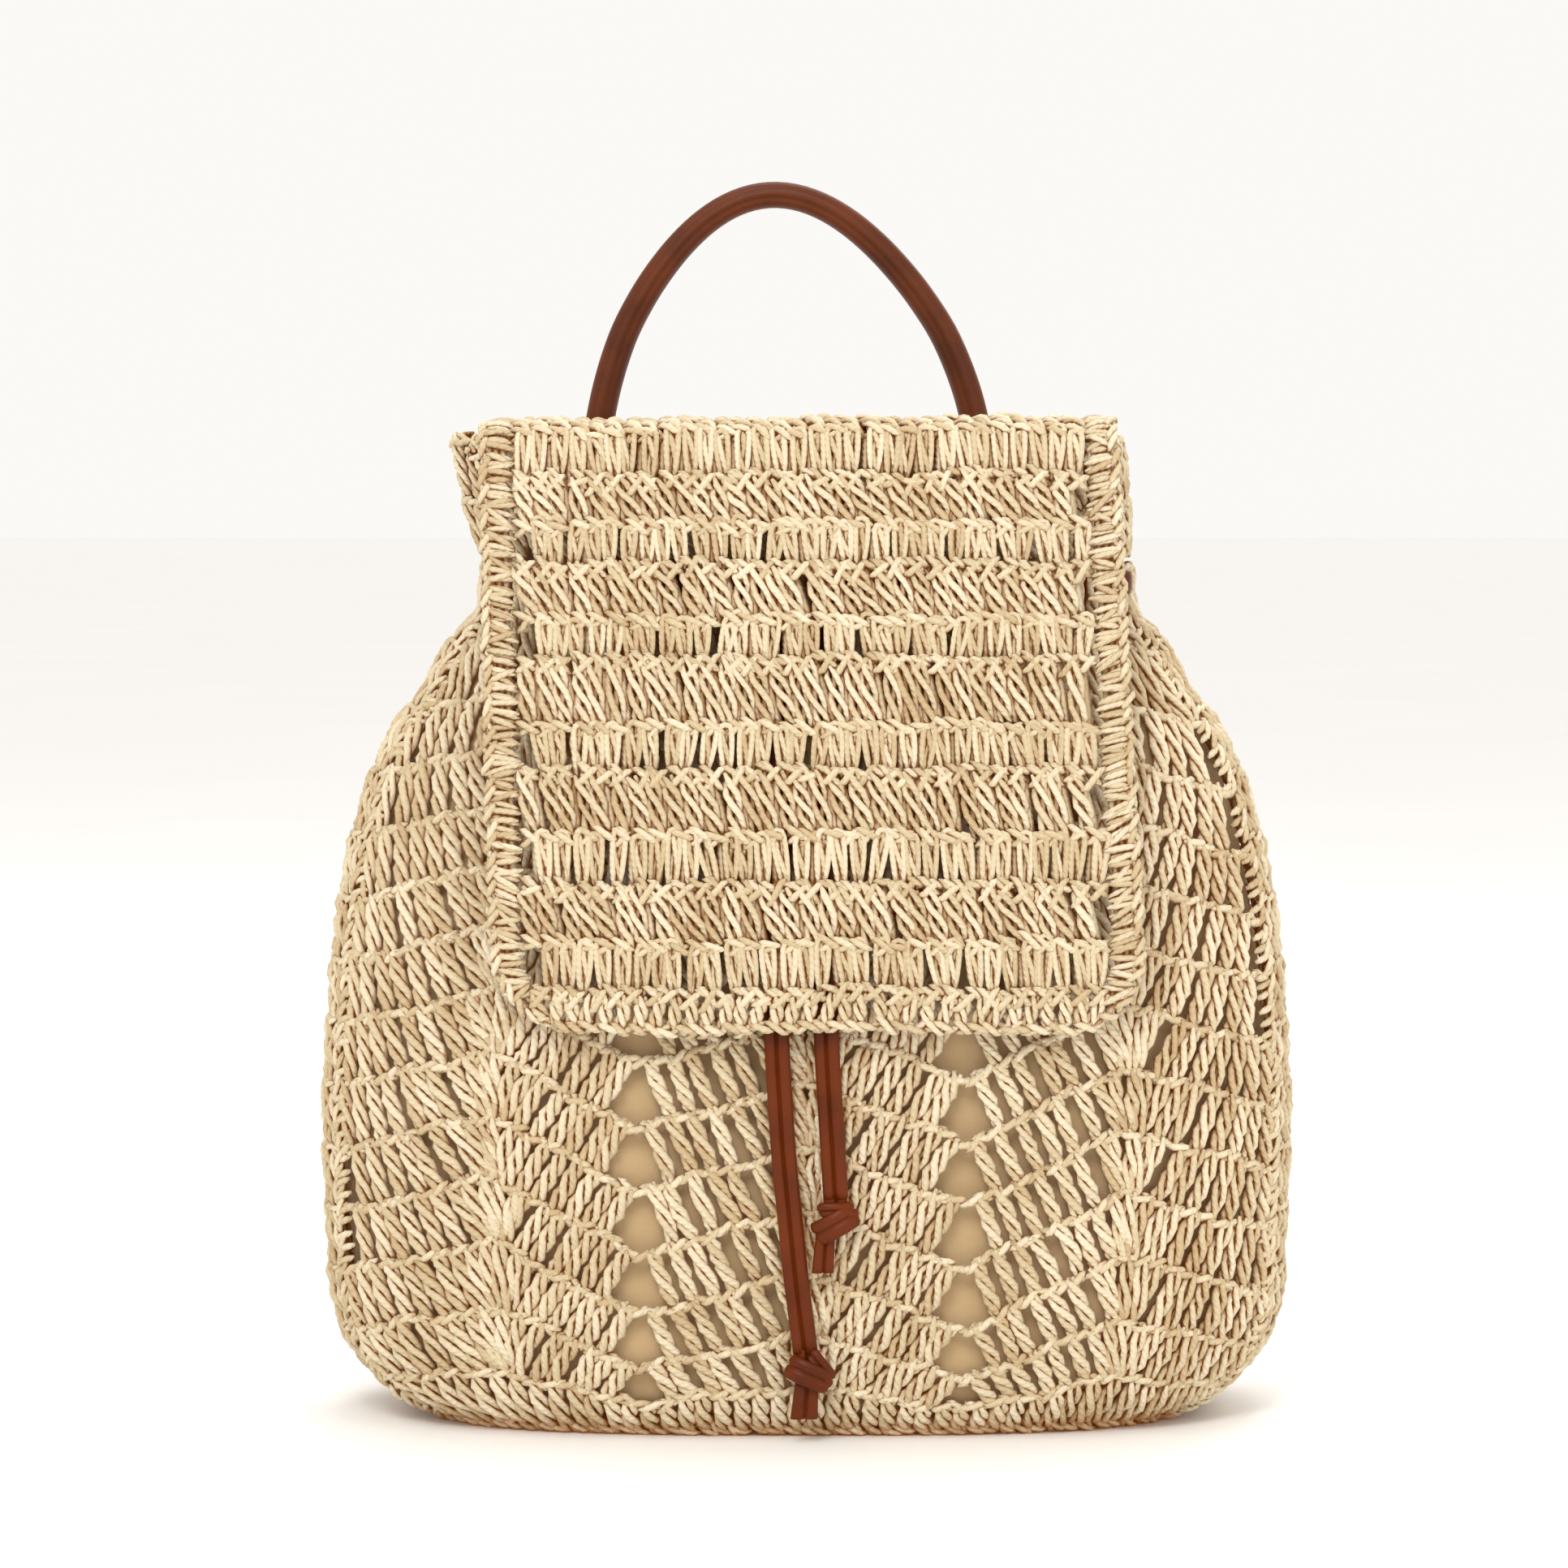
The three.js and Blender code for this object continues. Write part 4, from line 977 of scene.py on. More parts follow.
class STRAWBAG_OT_lining(bpy.types.Operator):
    """Make the cloth lining: a loose bag of cotton inside the crochet, open at the neck"""
    bl_idname = "strawbag.lining"
    bl_label = "Lining"

    def execute(self, context):
        around = 150
        angle = np.linspace(0, 2 * math.pi, around, endpoint=False)
        heights = np.concatenate([[6.3, 6.8, 8, 10, 13, 17], np.linspace(22, LINING_TOP, 57)])
        rings = []
        for z in heights:
            ring = body_point(angle, np.full(around, min(z, NECK)), -LINING_DEPTH)
            ring[:, 2] = z
            ring[:, 0] *= 1 - 1.0 / HALF_WIDTH
            # the cloth folds where it hangs free, and is gathered towards the neck
            free = min(max((z - 10) / 40, 0), max((262 - z) / 40, 0), 1)
            neck = min(max((z - 215) / 48, 0), 1)
            folds = (np.sin(angle * 7 + 0.03 * z) * 0.9 + np.sin(angle * 17 - 0.05 * z + 1) * 0.5
                     + np.sin(0.11 * z + angle * 4) * 0.7)
            gather = neck * 1.6 * np.sin(angle * 34)
            pull = (folds * free * 0.7 + gather - 1.2 * free - 1.6 * neck)[:, None]
            rings.append(ring + unit(ring * np.array([1, 1, 0])) * pull)
        floor = [rings[0] * np.array([k, k, 1]) for k in (0.05, 0.35, 0.65, 0.85)]
        mesh = grid_mesh("cotton_lining", np.array(floor + rings))
        lining = place("cotton_lining", closed_floor(mesh, around), material("plain_woven_cotton"),
                       "lining", "lining")
        thick = lining.modifiers.new("cloth", "SOLIDIFY")
        thick.thickness, thick.offset = 0.0011, -1
        return {"FINISHED"}


def closed_floor(mesh, around):
    """Closes the small opening in the middle of the lining's bottom."""
    work = bmesh.new()
    work.from_mesh(mesh)
    work.verts.ensure_lookup_table()
    work.faces.new([work.verts[i] for i in range(around)][::-1]).smooth = True
    work.to_mesh(mesh)
    work.free()
    return mesh


class STRAWBAG_OT_panels(bpy.types.Operator):
    """Crochet the front and back panels in ripple stitch, stitch by stitch"""
    bl_idname = "strawbag.panels"
    bl_label = "Front and Back Panels"

    def execute(self, context):
        sizes = context.scene.straw_bag_sizes
        straw = material("paper_straw_cord")
        for back, name in ((False, "front"), (True, "back")):
            work = panel_crochet(back, sizes)
            place(f"{name}_crochet", work.mesh(f"{name}_crochet"), straw, "straw", f"{name}_panel")
        return {"FINISHED"}


class STRAWBAG_OT_gusset(bpy.types.Operator):
    """Crochet the gusset: both sides, the bottom and the raised seams that join it to the panels"""
    bl_idname = "strawbag.gusset"
    bl_label = "Gusset and Seams"

    def execute(self, context):
        sizes = context.scene.straw_bag_sizes
        straw = material("paper_straw_cord")
        radius = sizes.cord * TO_RADIUS
        work = Crochet(43)
        steps = np.linspace(0, 1, 8)
        for sign in (-1, 1):
            surface = side_surface(sign)
            for row in range(len(ROW_LEVELS) - 1):
                low, high = side_level(row), side_level(row + 1)
                line = surface(np.linspace(-1, 1, 40), np.full(40, (low + high) / 2))
                run = np.linalg.norm(np.diff(line, axis=0), axis=1).sum()
                count = int(round(run / (sizes.post_pitch * 1000)))
                u = middles(count)[:, None] * 0.94 + (steps[None] - 0.5) * 0.05
                v = low + (high - low) * steps[None] + 0 * u
                p, n = with_normals(surface, u, v, flip=sign)
                work.posts(p, n, radius * 1.1, radius * 1.6, 1.2, phase=0.6, wobble=0.4)
            for row in range(1, len(ROW_LEVELS)):
                u = np.linspace(-0.96, 0.96, 60)
                p, n = with_normals(surface, u, np.full(60, side_level(row)), flip=sign)
                work.strokes(p, n, 5.4, 7.2, 0.9, 0.7, radius * 0.95, slant=-1.0)
            # from the lowest row line down round the corner
            u = middles(13)[:, None] * 0.94 + 0 * steps[None]
            v = 3.5 + 11.0 * steps[None] + 0 * u
            p, n = with_normals(surface, u, v, flip=sign)
            work.posts(p, n, radius, radius, 1.2)
        # bottom: rows of stitches from side to side
        downwards = np.array([0, 0, -1.0])
        for a, b in zip(BOTTOM_ROWS[:-1], BOTTOM_ROWS[1:]):
            half = bottom_half(abs(a + b) / 2 / BOTTOM_HALF_DEPTH)
            x = middles(int(round(2 * half / 6.2)))[:, None] * half + 0 * steps[None]
            v = a + (b - a) * steps[None] + 0 * x
            p = bottom_surface(x, v)
            work.posts(p, np.broadcast_to(downwards, p.shape), radius, radius * 0.95, 1.4, wobble=0.1)
        for at in BOTTOM_ROWS:
            half = bottom_half(min(abs(at) / BOTTOM_HALF_DEPTH, 0.98))
            p = bottom_surface(np.linspace(-half, half, 60), np.full(60, at))
            work.strokes(p, np.broadcast_to(downwards, p.shape), 5.8, 7.2, 0.9, 0.2, radius * 0.9,
                         bulge=0.4)
        # raised seams: slanting stitches across, and a chain along them
        for back in (False, True):
            p, n = seam_line(panel_surface(back))
            stations = spaced(p, n, 3.9)
            count = len(stations[0])
            w = np.linspace(0, 1, 7)[None, :]
            half = 4.4 + work.random.normal(0, 0.5, (count, 1))
            a = (w - 0.5) * 3.4 + work.random.normal(0, 0.4, (count, 1))
            b = (w - 0.5) * 2 * half
            c = 1.7 * np.sin(np.pi * w) - 0.4 + work.random.normal(0, 0.25, (count, 1))
            work.laid(stations, a, b, c, radius * bump(w))
            work.strokes(p, n, 5.0, 7.2, 1.3, 1.6, radius * 0.95)
        place("gusset_crochet", work.mesh("gusset_crochet"), straw, "straw", "gusset")
        return {"FINISHED"}


def collar_surface(u, v):
    """The ruffled collar: u is an angle round the neck, v a share of its height."""
    u, v = np.broadcast_arrays(np.asarray(u, float), np.asarray(v, float))
    lift = (COLLAR_FLARE * np.sin(v * np.pi / 2) + COLLAR_WAVE * np.sin(u * COLLAR_WAVES) * v
            - COLLAR_WALL / 2)
    p = body_point(u, np.full(u.shape, NECK))
    out = body_point(u, np.full(u.shape, NECK), 1.0) - p
    p = p + out * lift[..., None]
    p[..., 0] = p[..., 0] * (1 - 0.05 * v) - 6 * v
    p[..., 2] = NECK + GAP + v * (30.4 + 8 * np.cos(u) ** 6)
    return p


class STRAWBAG_OT_collar(bpy.types.Operator):
    """Crochet the ruffled collar above the drawstring"""
    bl_idname = "strawbag.collar"
    bl_label = "Collar"

    def execute(self, context):
        sizes = context.scene.straw_bag_sizes
        radius = sizes.cord * TO_RADIUS
        work = Crochet(59)
        steps = np.linspace(0, 1, 8)
        fine = np.linspace(-math.pi, math.pi, 900)
        run = run_along(collar_surface(fine, np.full(900, 0.5)))
        for low, high in ((0.02, 0.48), (0.48, 0.94)):
            count = int(round(run[-1] / 5.6))
            at = (np.arange(count) + 0.5) * run[-1] / count
            u = np.interp(at, run, fine)[:, None] + 0 * steps[None]
            v = low + (high - low) * steps[None] + 0 * u
            p, n = with_normals(collar_surface, u, v, 0.01, 0.03)
            work.posts(p, n, radius, radius * 1.6, 1.1, strands=3, sides=4)
        for level, rise, lift, slant in ((0.48, 0.9, 0.8, -1.0), (0.95, 1.2, 0.9, -1.0),
                                         (0.985, 1.4, -0.6, 1.0)):
            p, n = with_normals(collar_surface, fine, np.full(900, level), 0.01, 0.02)
            work.strokes(p, n, 5.2, 7.2, rise, lift, radius, slant=slant)
        place("collar_crochet", work.mesh("collar_crochet"), material("paper_straw_cord"), "straw",
              "collar")
        return {"FINISHED"}


# Flap


COLLAR_REACH = COLLAR_FLARE + COLLAR_WAVE + GAP * 4  # how far the collar reaches past the neck
UP = np.array([0, 0, 1.0])


def back_deep(z):
    """How far the body reaches back at one height."""
    return float(body_deep(np.array([float(z)]), True)[0])


def taut(points):
    """The convex outline of points (y, z), from the front hem over the top to the back hem."""
    hull = []
    for c in points:
        while len(hull) > 1:
            a, b = hull[-2], hull[-1]
            if (b[0] - a[0]) * (c[1] - a[1]) - (b[1] - a[1]) * (c[0] - a[0]) < 0:
                break
            hull.pop()
        hull.append(c)
    return np.array(hull)


def flap_profile():
    """The flap's inside from the front hem over the fold to the back hem, as even points (y, z)."""
    rest = RIDGE + STRING_THICK + GAP * 5
    inside_top = FLAP_TOP - FLAP_WALL - RIDGE
    z = np.linspace(FLAP_HEM, NECK, 25)
    front = np.stack([-(body_deep(z, False) + rest), z], -1)
    arc = np.linspace(0, math.pi / 2, 7)
    y_front = -(float(body_deep(np.array([NECK]), False)[0]) + COLLAR_REACH) + FOLD_RADIUS
    y_back = back_deep(NECK) + COLLAR_REACH - FOLD_RADIUS
    fold_front = np.stack([y_front - FOLD_RADIUS * np.cos(arc),
                           inside_top - FOLD_RADIUS + FOLD_RADIUS * np.sin(arc)], -1)
    fold_back = np.stack([y_back + FOLD_RADIUS * np.sin(arc),
                          inside_top - FOLD_RADIUS + FOLD_RADIUS * np.cos(arc)], -1)
    z = np.linspace(NECK, FLAP_BACK_HEM, 5)
    back = np.stack([body_deep(z, True) + RIDGE + GAP, z], -1)
    outline = taut([tuple(p) for p in np.vstack([front, fold_front, fold_back, back])])
    run = run_along(outline)
    at = np.linspace(0, run[-1], 700)
    even = taken_at(at, run, outline)
    # a running mean over 7 mm rounds the corners
    width = int(round(7 / (at[1] - at[0]))) | 1
    pad = width // 2
    padded = np.vstack([2 * even[0] - even[1:pad + 1][::-1], even,
                        2 * even[-1] - even[-pad - 1:-1][::-1]])
    kernel = np.ones(width) / width
    return at, np.stack([np.convolve(padded[:, k], kernel, "valid") for k in range(2)], -1)


FLAP_RUN, FLAP_LINE = flap_profile()
FLAP_LENGTH = FLAP_RUN[-1]
FLAP_FOLD = FLAP_RUN[np.argmax(FLAP_LINE[:, 1])]


def flap_surface(u, v):
    """The flap's middle layer: u runs from -1 to 1 across it, v is millimetres up from the hem."""
    u, v = np.broadcast_arrays(np.asarray(u, float), np.asarray(v, float))
    y, z = (np.interp(v, FLAP_RUN, FLAP_LINE[:, k]) for k in range(2))
    ty, tz = (np.interp(v + 1, FLAP_RUN, FLAP_LINE[:, k]) - np.interp(v - 1, FLAP_RUN, FLAP_LINE[:, k])
              for k in range(2))
    long = np.hypot(ty, tz)
    down = np.clip(1 - v / (FLAP_TOP - FLAP_HEM), 0, 1)
    full = FLAP_TOP_WIDTH + (FLAP_HEM_WIDTH - FLAP_TOP_WIDTH) * down
    near = np.clip(v, 0, FLAP_CORNER)
    rounding = FLAP_CORNER - np.sqrt(np.maximum(FLAP_CORNER ** 2 - (FLAP_CORNER - near) ** 2, 0))
    edge = np.clip((np.abs(u) - 0.8) / 0.2, 0, 1)
    middle = FLAP_TOP_SHIFT + (FLAP_HEM_SHIFT - FLAP_TOP_SHIFT) * down
    x = middle + u * (full / 2 - rounding * edge)
    y = y + FLAP_CURL * u * u * down
    # the hem's middle sags, and the fold is uneven
    sag = -1.6 * (1 - u * u) * np.exp(-v / 18) + 1.0 * np.sin(u * 5 + 1) * np.exp(-v / 25)
    over = np.exp(-((v - FLAP_FOLD) / 30) ** 2)
    sag = sag + over * (1.0 * u - 0.6 + 0.5 * np.sin(u * 13) + 0.3 * np.sin(u * 31))
    return np.stack([x, y - tz / long * FLAP_MIDDLE, z + ty / long * FLAP_MIDDLE + sag], -1)


def flap_lines():
    """The flap's row lines as millimetres up from the hem along the flap."""
    climb = FLAP_LINE[:, 1]
    peak = int(np.argmax(climb))
    lines = [float(np.interp(z - 0.8, climb[:peak], FLAP_RUN[:peak])) for z in FLAP_LINES]
    left = FLAP_LENGTH - 3.5 - lines[-1]
    rows = round(left / 15.4)
    return lines + [lines[-1] + left * (row + 1) / rows for row in range(rows)]


FLAP_INNER = 1 - 2 * FLAP_BORDER / FLAP_TOP_WIDTH  # share of the flap's half width inside the borders


def flap_row(work, row, low, high, count, radius):
    """One row of the flap: even rows have upright loops, odd rows lean to the left at the top."""
    leaning = row % 2 == 1
    in_front = row < FRONT_ROWS
    gap = 2 * FLAP_END_GAP / FLAP_TOP_WIDTH if row < OPEN_ROWS else 0
    left = -FLAP_INNER + (0 if leaning else gap)
    right = FLAP_INNER - (gap if leaning else 0)
    steps = np.linspace(0, 1, 7)
    u = left + (np.arange(count) + 0.5) / count * (right - left)
    u = u + work.random.normal(0, 0.006, count)
    tilt = (-0.036 if leaning else 0.002) + work.random.normal(0, 0.013, (count, 1))
    line = u[:, None] + tilt * (steps[None] - 0.5)
    foot = low - (0.4 if leaning else -0.2) + work.random.normal(0, 0.7, (count, 1))
    head = high + 0.9 + work.random.normal(0, 0.8, (count, 1))
    climb = foot + (head - foot) * steps[None]
    p, n = with_normals(flap_surface, line, climb)
    if leaning:
        work.posts(p + n * 0.3, n, radius * 1.05, radius * 1.95, 0.85, phase=0.9, strands=3, wobble=0.35,
                   sides=5 if in_front else 4)
    elif in_front:
        work.arches(p + n * 0.5, n, radius, radius * 1.75, wobble=0.4)
        work.posts(p - n * 0.5, n, radius, radius * 1.1, 0.75, phase=1.9, strands=2, wobble=0.5, sides=4)
    else:
        work.posts(p, n, radius, radius * 1.7, 0.6, phase=0.4, strands=3, wobble=0.4, sides=4)
    # the cord carried along behind closes the gaps between the stitches
    between = line[:, ::2] + (right - left) / count * (0.5 if leaning else -0.5)
    climb = climb[:, ::2]
    if row < OPEN_ROWS and not leaning:  # open slits are left beside many upright stitches
        kept = work.random.random(count) < 0.55
        between, climb = between[kept], climb[kept]
    q, m = with_normals(flap_surface, between, climb)
    work.tubes(q - m * (1.5 if leaning else 1.8), m, radius * (1.35 if leaning else 1.1), 4)


def flap_crochet(sizes):
    """The flap in two meshes: the rows that hang in front, and the fold, the back and the borders."""
    front, rest = Crochet(71), Crochet(73)
    radius = sizes.cord * TO_FLAP_RADIUS
    count = sizes.flap_stitches
    lines = flap_lines()
    for row, (low, high) in enumerate(zip(lines[:-1], lines[1:])):
        flap_row(front if row < FRONT_ROWS else rest, row, low, high, count, radius)
    step = FLAP_INNER * FLAP_TOP_WIDTH / count
    across = np.linspace(-FLAP_INNER, FLAP_INNER, 160)
    for row, level in enumerate(lines):
        work = front if row <= FRONT_ROWS else rest
        uneven = 0.5 * np.sin(9 * across + row * 2.1) + 0.35 * np.sin(21 * across + row)
        p, n = with_normals(flap_surface, across, level + uneven)
        if row % 2 == 0:  # wavy line under the upright loops
            work.strokes(p + 0.4 * UP, n, step, step * 1.2, 2.5, 0.9, radius * 1.05, sides=4)
            work.strokes(p - 0.8 * UP, n, step, step * 1.15, 2.4, 1.3, radius * 1.1, slant=-1.0)
            work.strokes(p + 1.6 * UP, n, step * 0.97, step * 0.9, 0.9, 0.5, radius, sides=4)
        else:
            work.strokes(p, n, step, step * 1.3, 1.6, 1.2, radius * 1.05)
            work.strokes(p - 1.2 * UP, n, step, step * 1.1, 1.8, 0.7, radius, slant=-1.0, sides=4)
    flap_side_borders(rest, radius)
    # bottom border: short upright stitches between the last row and the edge
    run, share = arc_table(flap_surface, -0.93, 0.93, lambda u: 6.0)
    stitches = int(round(run[-1] / 5.0))
    steps = np.linspace(0, 1, 6)
    u = np.interp((np.arange(stitches) + 0.5) * run[-1] / stitches, run, share)[:, None]
    line = u + (0.022 + rest.random.normal(0, 0.01, (stitches, 1))) * (steps[None] - 0.5)
    v = 1.2 + (lines[0] + 0.5 - 1.2) * steps[None] + 0 * u
    p, n = with_normals(flap_surface, line, v)
    rest.posts(p, n, radius, radius * 1.45, 0.7, phase=2.4, strands=3, wobble=0.4)
    flap_edge(rest, radius)
    return front, rest


def flap_side_borders(work, radius):
    """Cords that lie across each side border, in two uneven layers."""
    for side in (-1, 1):
        v = np.linspace(8, FLAP_LENGTH - 2, 500)
        p, n = with_normals(flap_surface, np.full(500, side * (1 - 0.058)), v)
        for layer, (pitch, half_length, lift) in enumerate(((2.5, 4.3, 0.2), (3.7, 3.9, 1.0))):
            stations = spaced(p, n, pitch)
            count = len(stations[0])
            w = np.linspace(0, 1, 5)[None, :]
            half = half_length + work.random.normal(0, 0.5, (count, 1))
            tilt = work.random.normal(1.0 * side, 0.8 + layer * 0.5, (count, 1))
            a = (w - 0.5) * 2 * tilt
            b = (w - 0.5) * 2 * half
            c = lift + 1.0 * np.sin(np.pi * w) + work.random.normal(0, 0.3, (count, 1))
            work.laid(stations, a, b, c, radius * 0.95 * bump(w), 5 - layer)
        for inset in (0.03, 0.052, 0.074):  # cords that run along behind them
            v = np.linspace(8, FLAP_LENGTH - 2, 260)
            p, n = with_normals(flap_surface, np.full(260, side * (1 - inset)), v)
            work.tubes((p - n * 0.9)[None], n[None], radius * 1.1, 4)


def flap_edge(work, radius):
    """The braided edge: down one side of the flap, round its corners, up the other side and behind."""
    corner = np.linspace(0, math.pi / 2, 30)
    v = np.concatenate([np.linspace(FLAP_LENGTH - 2, FLAP_CORNER, 260),
                        FLAP_CORNER - FLAP_CORNER * np.sin(corner)])
    u = np.full(len(v), 0.985)
    across = np.linspace(0.985, -0.985, 160)
    u = np.concatenate([u, across, -u])
    v = np.maximum(np.concatenate([v, np.zeros(160), v[::-1]]), 1.2)
    p, n = with_normals(flap_surface, u, v)
    work.strokes(p, n, 4.6, 6.4, 1.3, 0.9, radius * 1.05)
    work.strokes(p, n, 4.8, 6.4, 1.3, -0.2, radius, slant=-1.0, sides=4)
    p, n = with_normals(flap_surface, across, np.full(160, FLAP_LENGTH - 2.2))
    work.strokes(p, n, 4.6, 6.4, 1.2, 0.1, radius * 1.05)
    work.strokes(p, n, 4.8, 6.4, 1.2, -0.8, radius, slant=-1.0, sides=4)


class STRAWBAG_OT_flap(bpy.types.Operator):
    """Crochet the flap over the mouth, with its borders and braided edge"""
    bl_idname = "strawbag.flap"
    bl_label = "Flap"

    def execute(self, context):
        front, rest = flap_crochet(context.scene.straw_bag_sizes)
        straw = material("paper_straw_cord")
        place("flap_crochet", front.mesh("flap_crochet"), straw, "straw", "flap")
        place("flap_fold_crochet", rest.mesh("flap_fold_crochet"), straw, "straw", "flap")
        return {"FINISHED"}


# Handle and shoulder straps


ON_BACK = RIDGE + GAP
HANDLE_SPREAD = 2.8  # each foot stands this far outside the arch
HANDLE_FOOT, HANDLE_HALF, HANDLE_SHIFT, HANDLE_RISE, HANDLE_LEAN = 204.0, 60.0, -6.0, 72.0, -4.0


def handle_path(thick):
    """The handle's middle line: a foot, straight up behind the flap, the arch and the other foot."""
    out = FLAP_WALL + RIDGE + max(back_deep(NECK) + COLLAR_REACH, back_deep(FLAP_BACK_HEM) + ON_BACK)
    y = out + GAP * 2 + thick / 2
    low_y = max(back_deep(HANDLE_FOOT) + ON_BACK + TAB_THICK + GAP * 2 + thick / 2, y - 1)
    arch = [(HANDLE_SHIFT + HANDLE_HALF * u + HANDLE_LEAN * (1 - u * u), y,
             FLAP_TOP + HANDLE_RISE * (1 - 0.82 * u ** 2 - 0.18 * u ** 14)) for u in np.linspace(-1, 1, 17)]

    def foot(sign):
        x = HANDLE_SHIFT + sign * (HANDLE_HALF + HANDLE_SPREAD)
        return [(HANDLE_SHIFT + sign * (HANDLE_HALF + 2.4), y, (FLAP_TOP + FLAP_BACK_HEM) / 2),
                (x, y, FLAP_BACK_HEM - thick / 2), (x, low_y, HANDLE_FOOT)]

    return np.array(foot(-1)[::-1] + arch + foot(1))


def rolled_section(thick):
    """A rolled strip: round, with a raised seam between two grooves along its lower side."""
    turn = np.linspace(0, 2 * math.pi, 40, endpoint=False)
    r = np.full(40, thick / 2)
    for at, deep, wide in ((2.85, -0.6, 0.15), (3.6, -0.5, 0.13), (3.2, 0.32, 0.26), (4.9, -0.3, 0.4)):
        apart = np.angle(np.exp(1j * (turn - at)))
        r = r + deep * np.exp(-(apart / wide) ** 2)
    return np.stack([r * np.cos(turn), r * np.sin(turn)], -1)


def back_plate(name, x, z, width, height, thick, lift, corner=4.0):
    """A flat leather piece with rounded corners that follows the back panel."""
    shares = np.linspace(-1, 1, 25)
    points = []
    for off, rounded in ((lift + thick, 0.5), (lift, 0)):  # outer face with a rounded rim, then inner face
        for v in shares:
            for u in shares:
                bx, bz = u * width / 2, v * height / 2
                over_x = max(abs(bx) - (width / 2 - corner), 0)
                over_z = max(abs(bz) - (height / 2 - corner), 0)
                far = math.hypot(over_x, over_z)
                if far > corner:
                    bx -= math.copysign(over_x - over_x * corner / far, bx)
                    bz -= math.copysign(over_z - over_z * corner / far, bz)
                soft = off - rounded * max((max(abs(u), abs(v)) - 0.86) / 0.14, 0) ** 2
                points.append(back_place(x + bx, z + height / 2 + bz, soft))
    n = len(shares)
    loops = []
    for r in range(n - 1):
        for c in range(n - 1):
            a = r * n + c
            b = n * n + a
            loops += [(a, a + n, a + n + 1, a + 1), (b, b + 1, b + n + 1, b + n)]
    rim = [*range(n), *range(2 * n - 1, n * n, n), *range(n * n - 2, n * n - n - 1, -1),
           *range(n * n - 2 * n, 0, -n)]
    for a, b in zip(rim, rim[1:] + rim[:1]):
        loops.append((a, b, b + n * n, a + n * n))
    loops = np.array(loops)
    return build_mesh(name, np.array(points), loops.ravel(), np.full(len(loops), 4))


def back_place(x, z, off):
    """A place on the back panel, so far out from it."""
    wide = float(body_wide(np.array([z]), off)[0])
    share = min(abs(x) / wide, 0.999)
    deep = back_deep(z) + off
    return (x, deep * (1 - share ** SQUARENESS) ** (1 / SQUARENESS), z)


def stitch_row(work, points, normal, pitch=3.2, length=2.2, radius=0.32, lift=0.12):
    """Thread stitches along a line of points."""
    w = np.linspace(0, 1, 5)[None, :]
    work.laid(spaced(points, normal, pitch), (w - 0.5) * length, 0 * w,
              lift + 0.25 * np.sin(np.pi * w), radius * bump(w))


def plate_stitches(work, x, z, width, height, off, inset=2.2):
    """A frame of stitches just inside a plate's edge."""
    a, b = width / 2 - inset, height / 2 - inset
    corners = [(-a, -b), (a, -b), (a, b), (-a, b), (-a, -b)]
    for (x0, z0), (x1, z1) in zip(corners[:-1], corners[1:]):
        line = np.array([back_place(x + x0 + (x1 - x0) * k, z + height / 2 + z0 + (z1 - z0) * k, off)
                         for k in np.linspace(0, 1, 30)])
        stitch_row(work, line, np.tile([0.0, 1, 0.1], (30, 1)))


class STRAWBAG_OT_handle(bpy.types.Operator):
    """Make the rolled leather handle, its sewn tabs and their stitches"""
    bl_idname = "strawbag.handle"
    bl_label = "Handle"

    def execute(self, context):
        thick = context.scene.straw_bag_sizes.handle_thickness * 1000
        leather = material("handle_cowhide")
        path = dense_route(handle_path(thick), 150)
        depth = np.tile([0.0, 1, 0], (150, 1))
        # thinner in the middle of the arch
        slim = 1.04 - 0.1 * np.exp(-((path[:, 0] - HANDLE_SHIFT - HANDLE_LEAN) / 34) ** 2) * (
            path[:, 2] > FLAP_TOP)
        mesh = swept_strip("rolled_handle", path, depth, rolled_section(thick), slim)
        place("rolled_handle", mesh, leather, "leather", "handle")
        work = Crochet(83)
        for side, sign in (("left", -1), ("right", 1)):
            x = HANDLE_SHIFT + sign * (HANDLE_HALF + HANDLE_SPREAD)
            z = HANDLE_FOOT - TAB_HEIGHT * 0.35
            tab = back_plate(f"handle_tab_{side}_leather", x, z, TAB_WIDTH, TAB_HEIGHT, TAB_THICK, ON_BACK)
            place(f"handle_tab_{side}_leather", tab, leather, "leather", f"handle_tab_{side}")
            plate_stitches(work, x, z, TAB_WIDTH, TAB_HEIGHT, ON_BACK + TAB_THICK)
        place("handle_stitches", work.mesh("handle_stitches"), material("waxed_thread"), "leather")
        return {"FINISHED"}


def strap_lines(sign, count):
    """A strap's middle line, and the directions of its width and its outer face along it."""
    route = np.array([(sign * a * HALF_WIDTH, back_deep(h * NECK) + b, h * NECK)
                      for a, b, h, _ in STRAP_ROUTE])
    path = dense_route(route, count)
    run = run_along(route)
    at = np.linspace(0, run[-1], count)
    turn = np.radians(np.interp(at, run, [r[3] for r in STRAP_ROUTE]))
    facing = np.stack([sign * np.sin(turn), np.cos(turn), np.zeros(count)], -1)
    tangent = unit(np.gradient(path, axis=0))
    side = unit(np.cross(facing, tangent))
    return path, side, np.cross(tangent, side)


def strap_section(width, thick):
    """A flat strap with rolled edges and a shallow groove beside each."""
    a, b = width / 2, thick / 2
    face = [(-1, 0), (-0.97, 0.6), (-0.88, 0.95), (-0.78, 0.8), (-0.68, 1), (0, 1.05), (0.68, 1),
            (0.78, 0.8), (0.88, 0.95), (0.97, 0.6), (1, 0)]
    return np.array([(x * a, y * b) for x, y in face] + [(x * a, -y * b) for x, y in face[::-1][1:-1]])


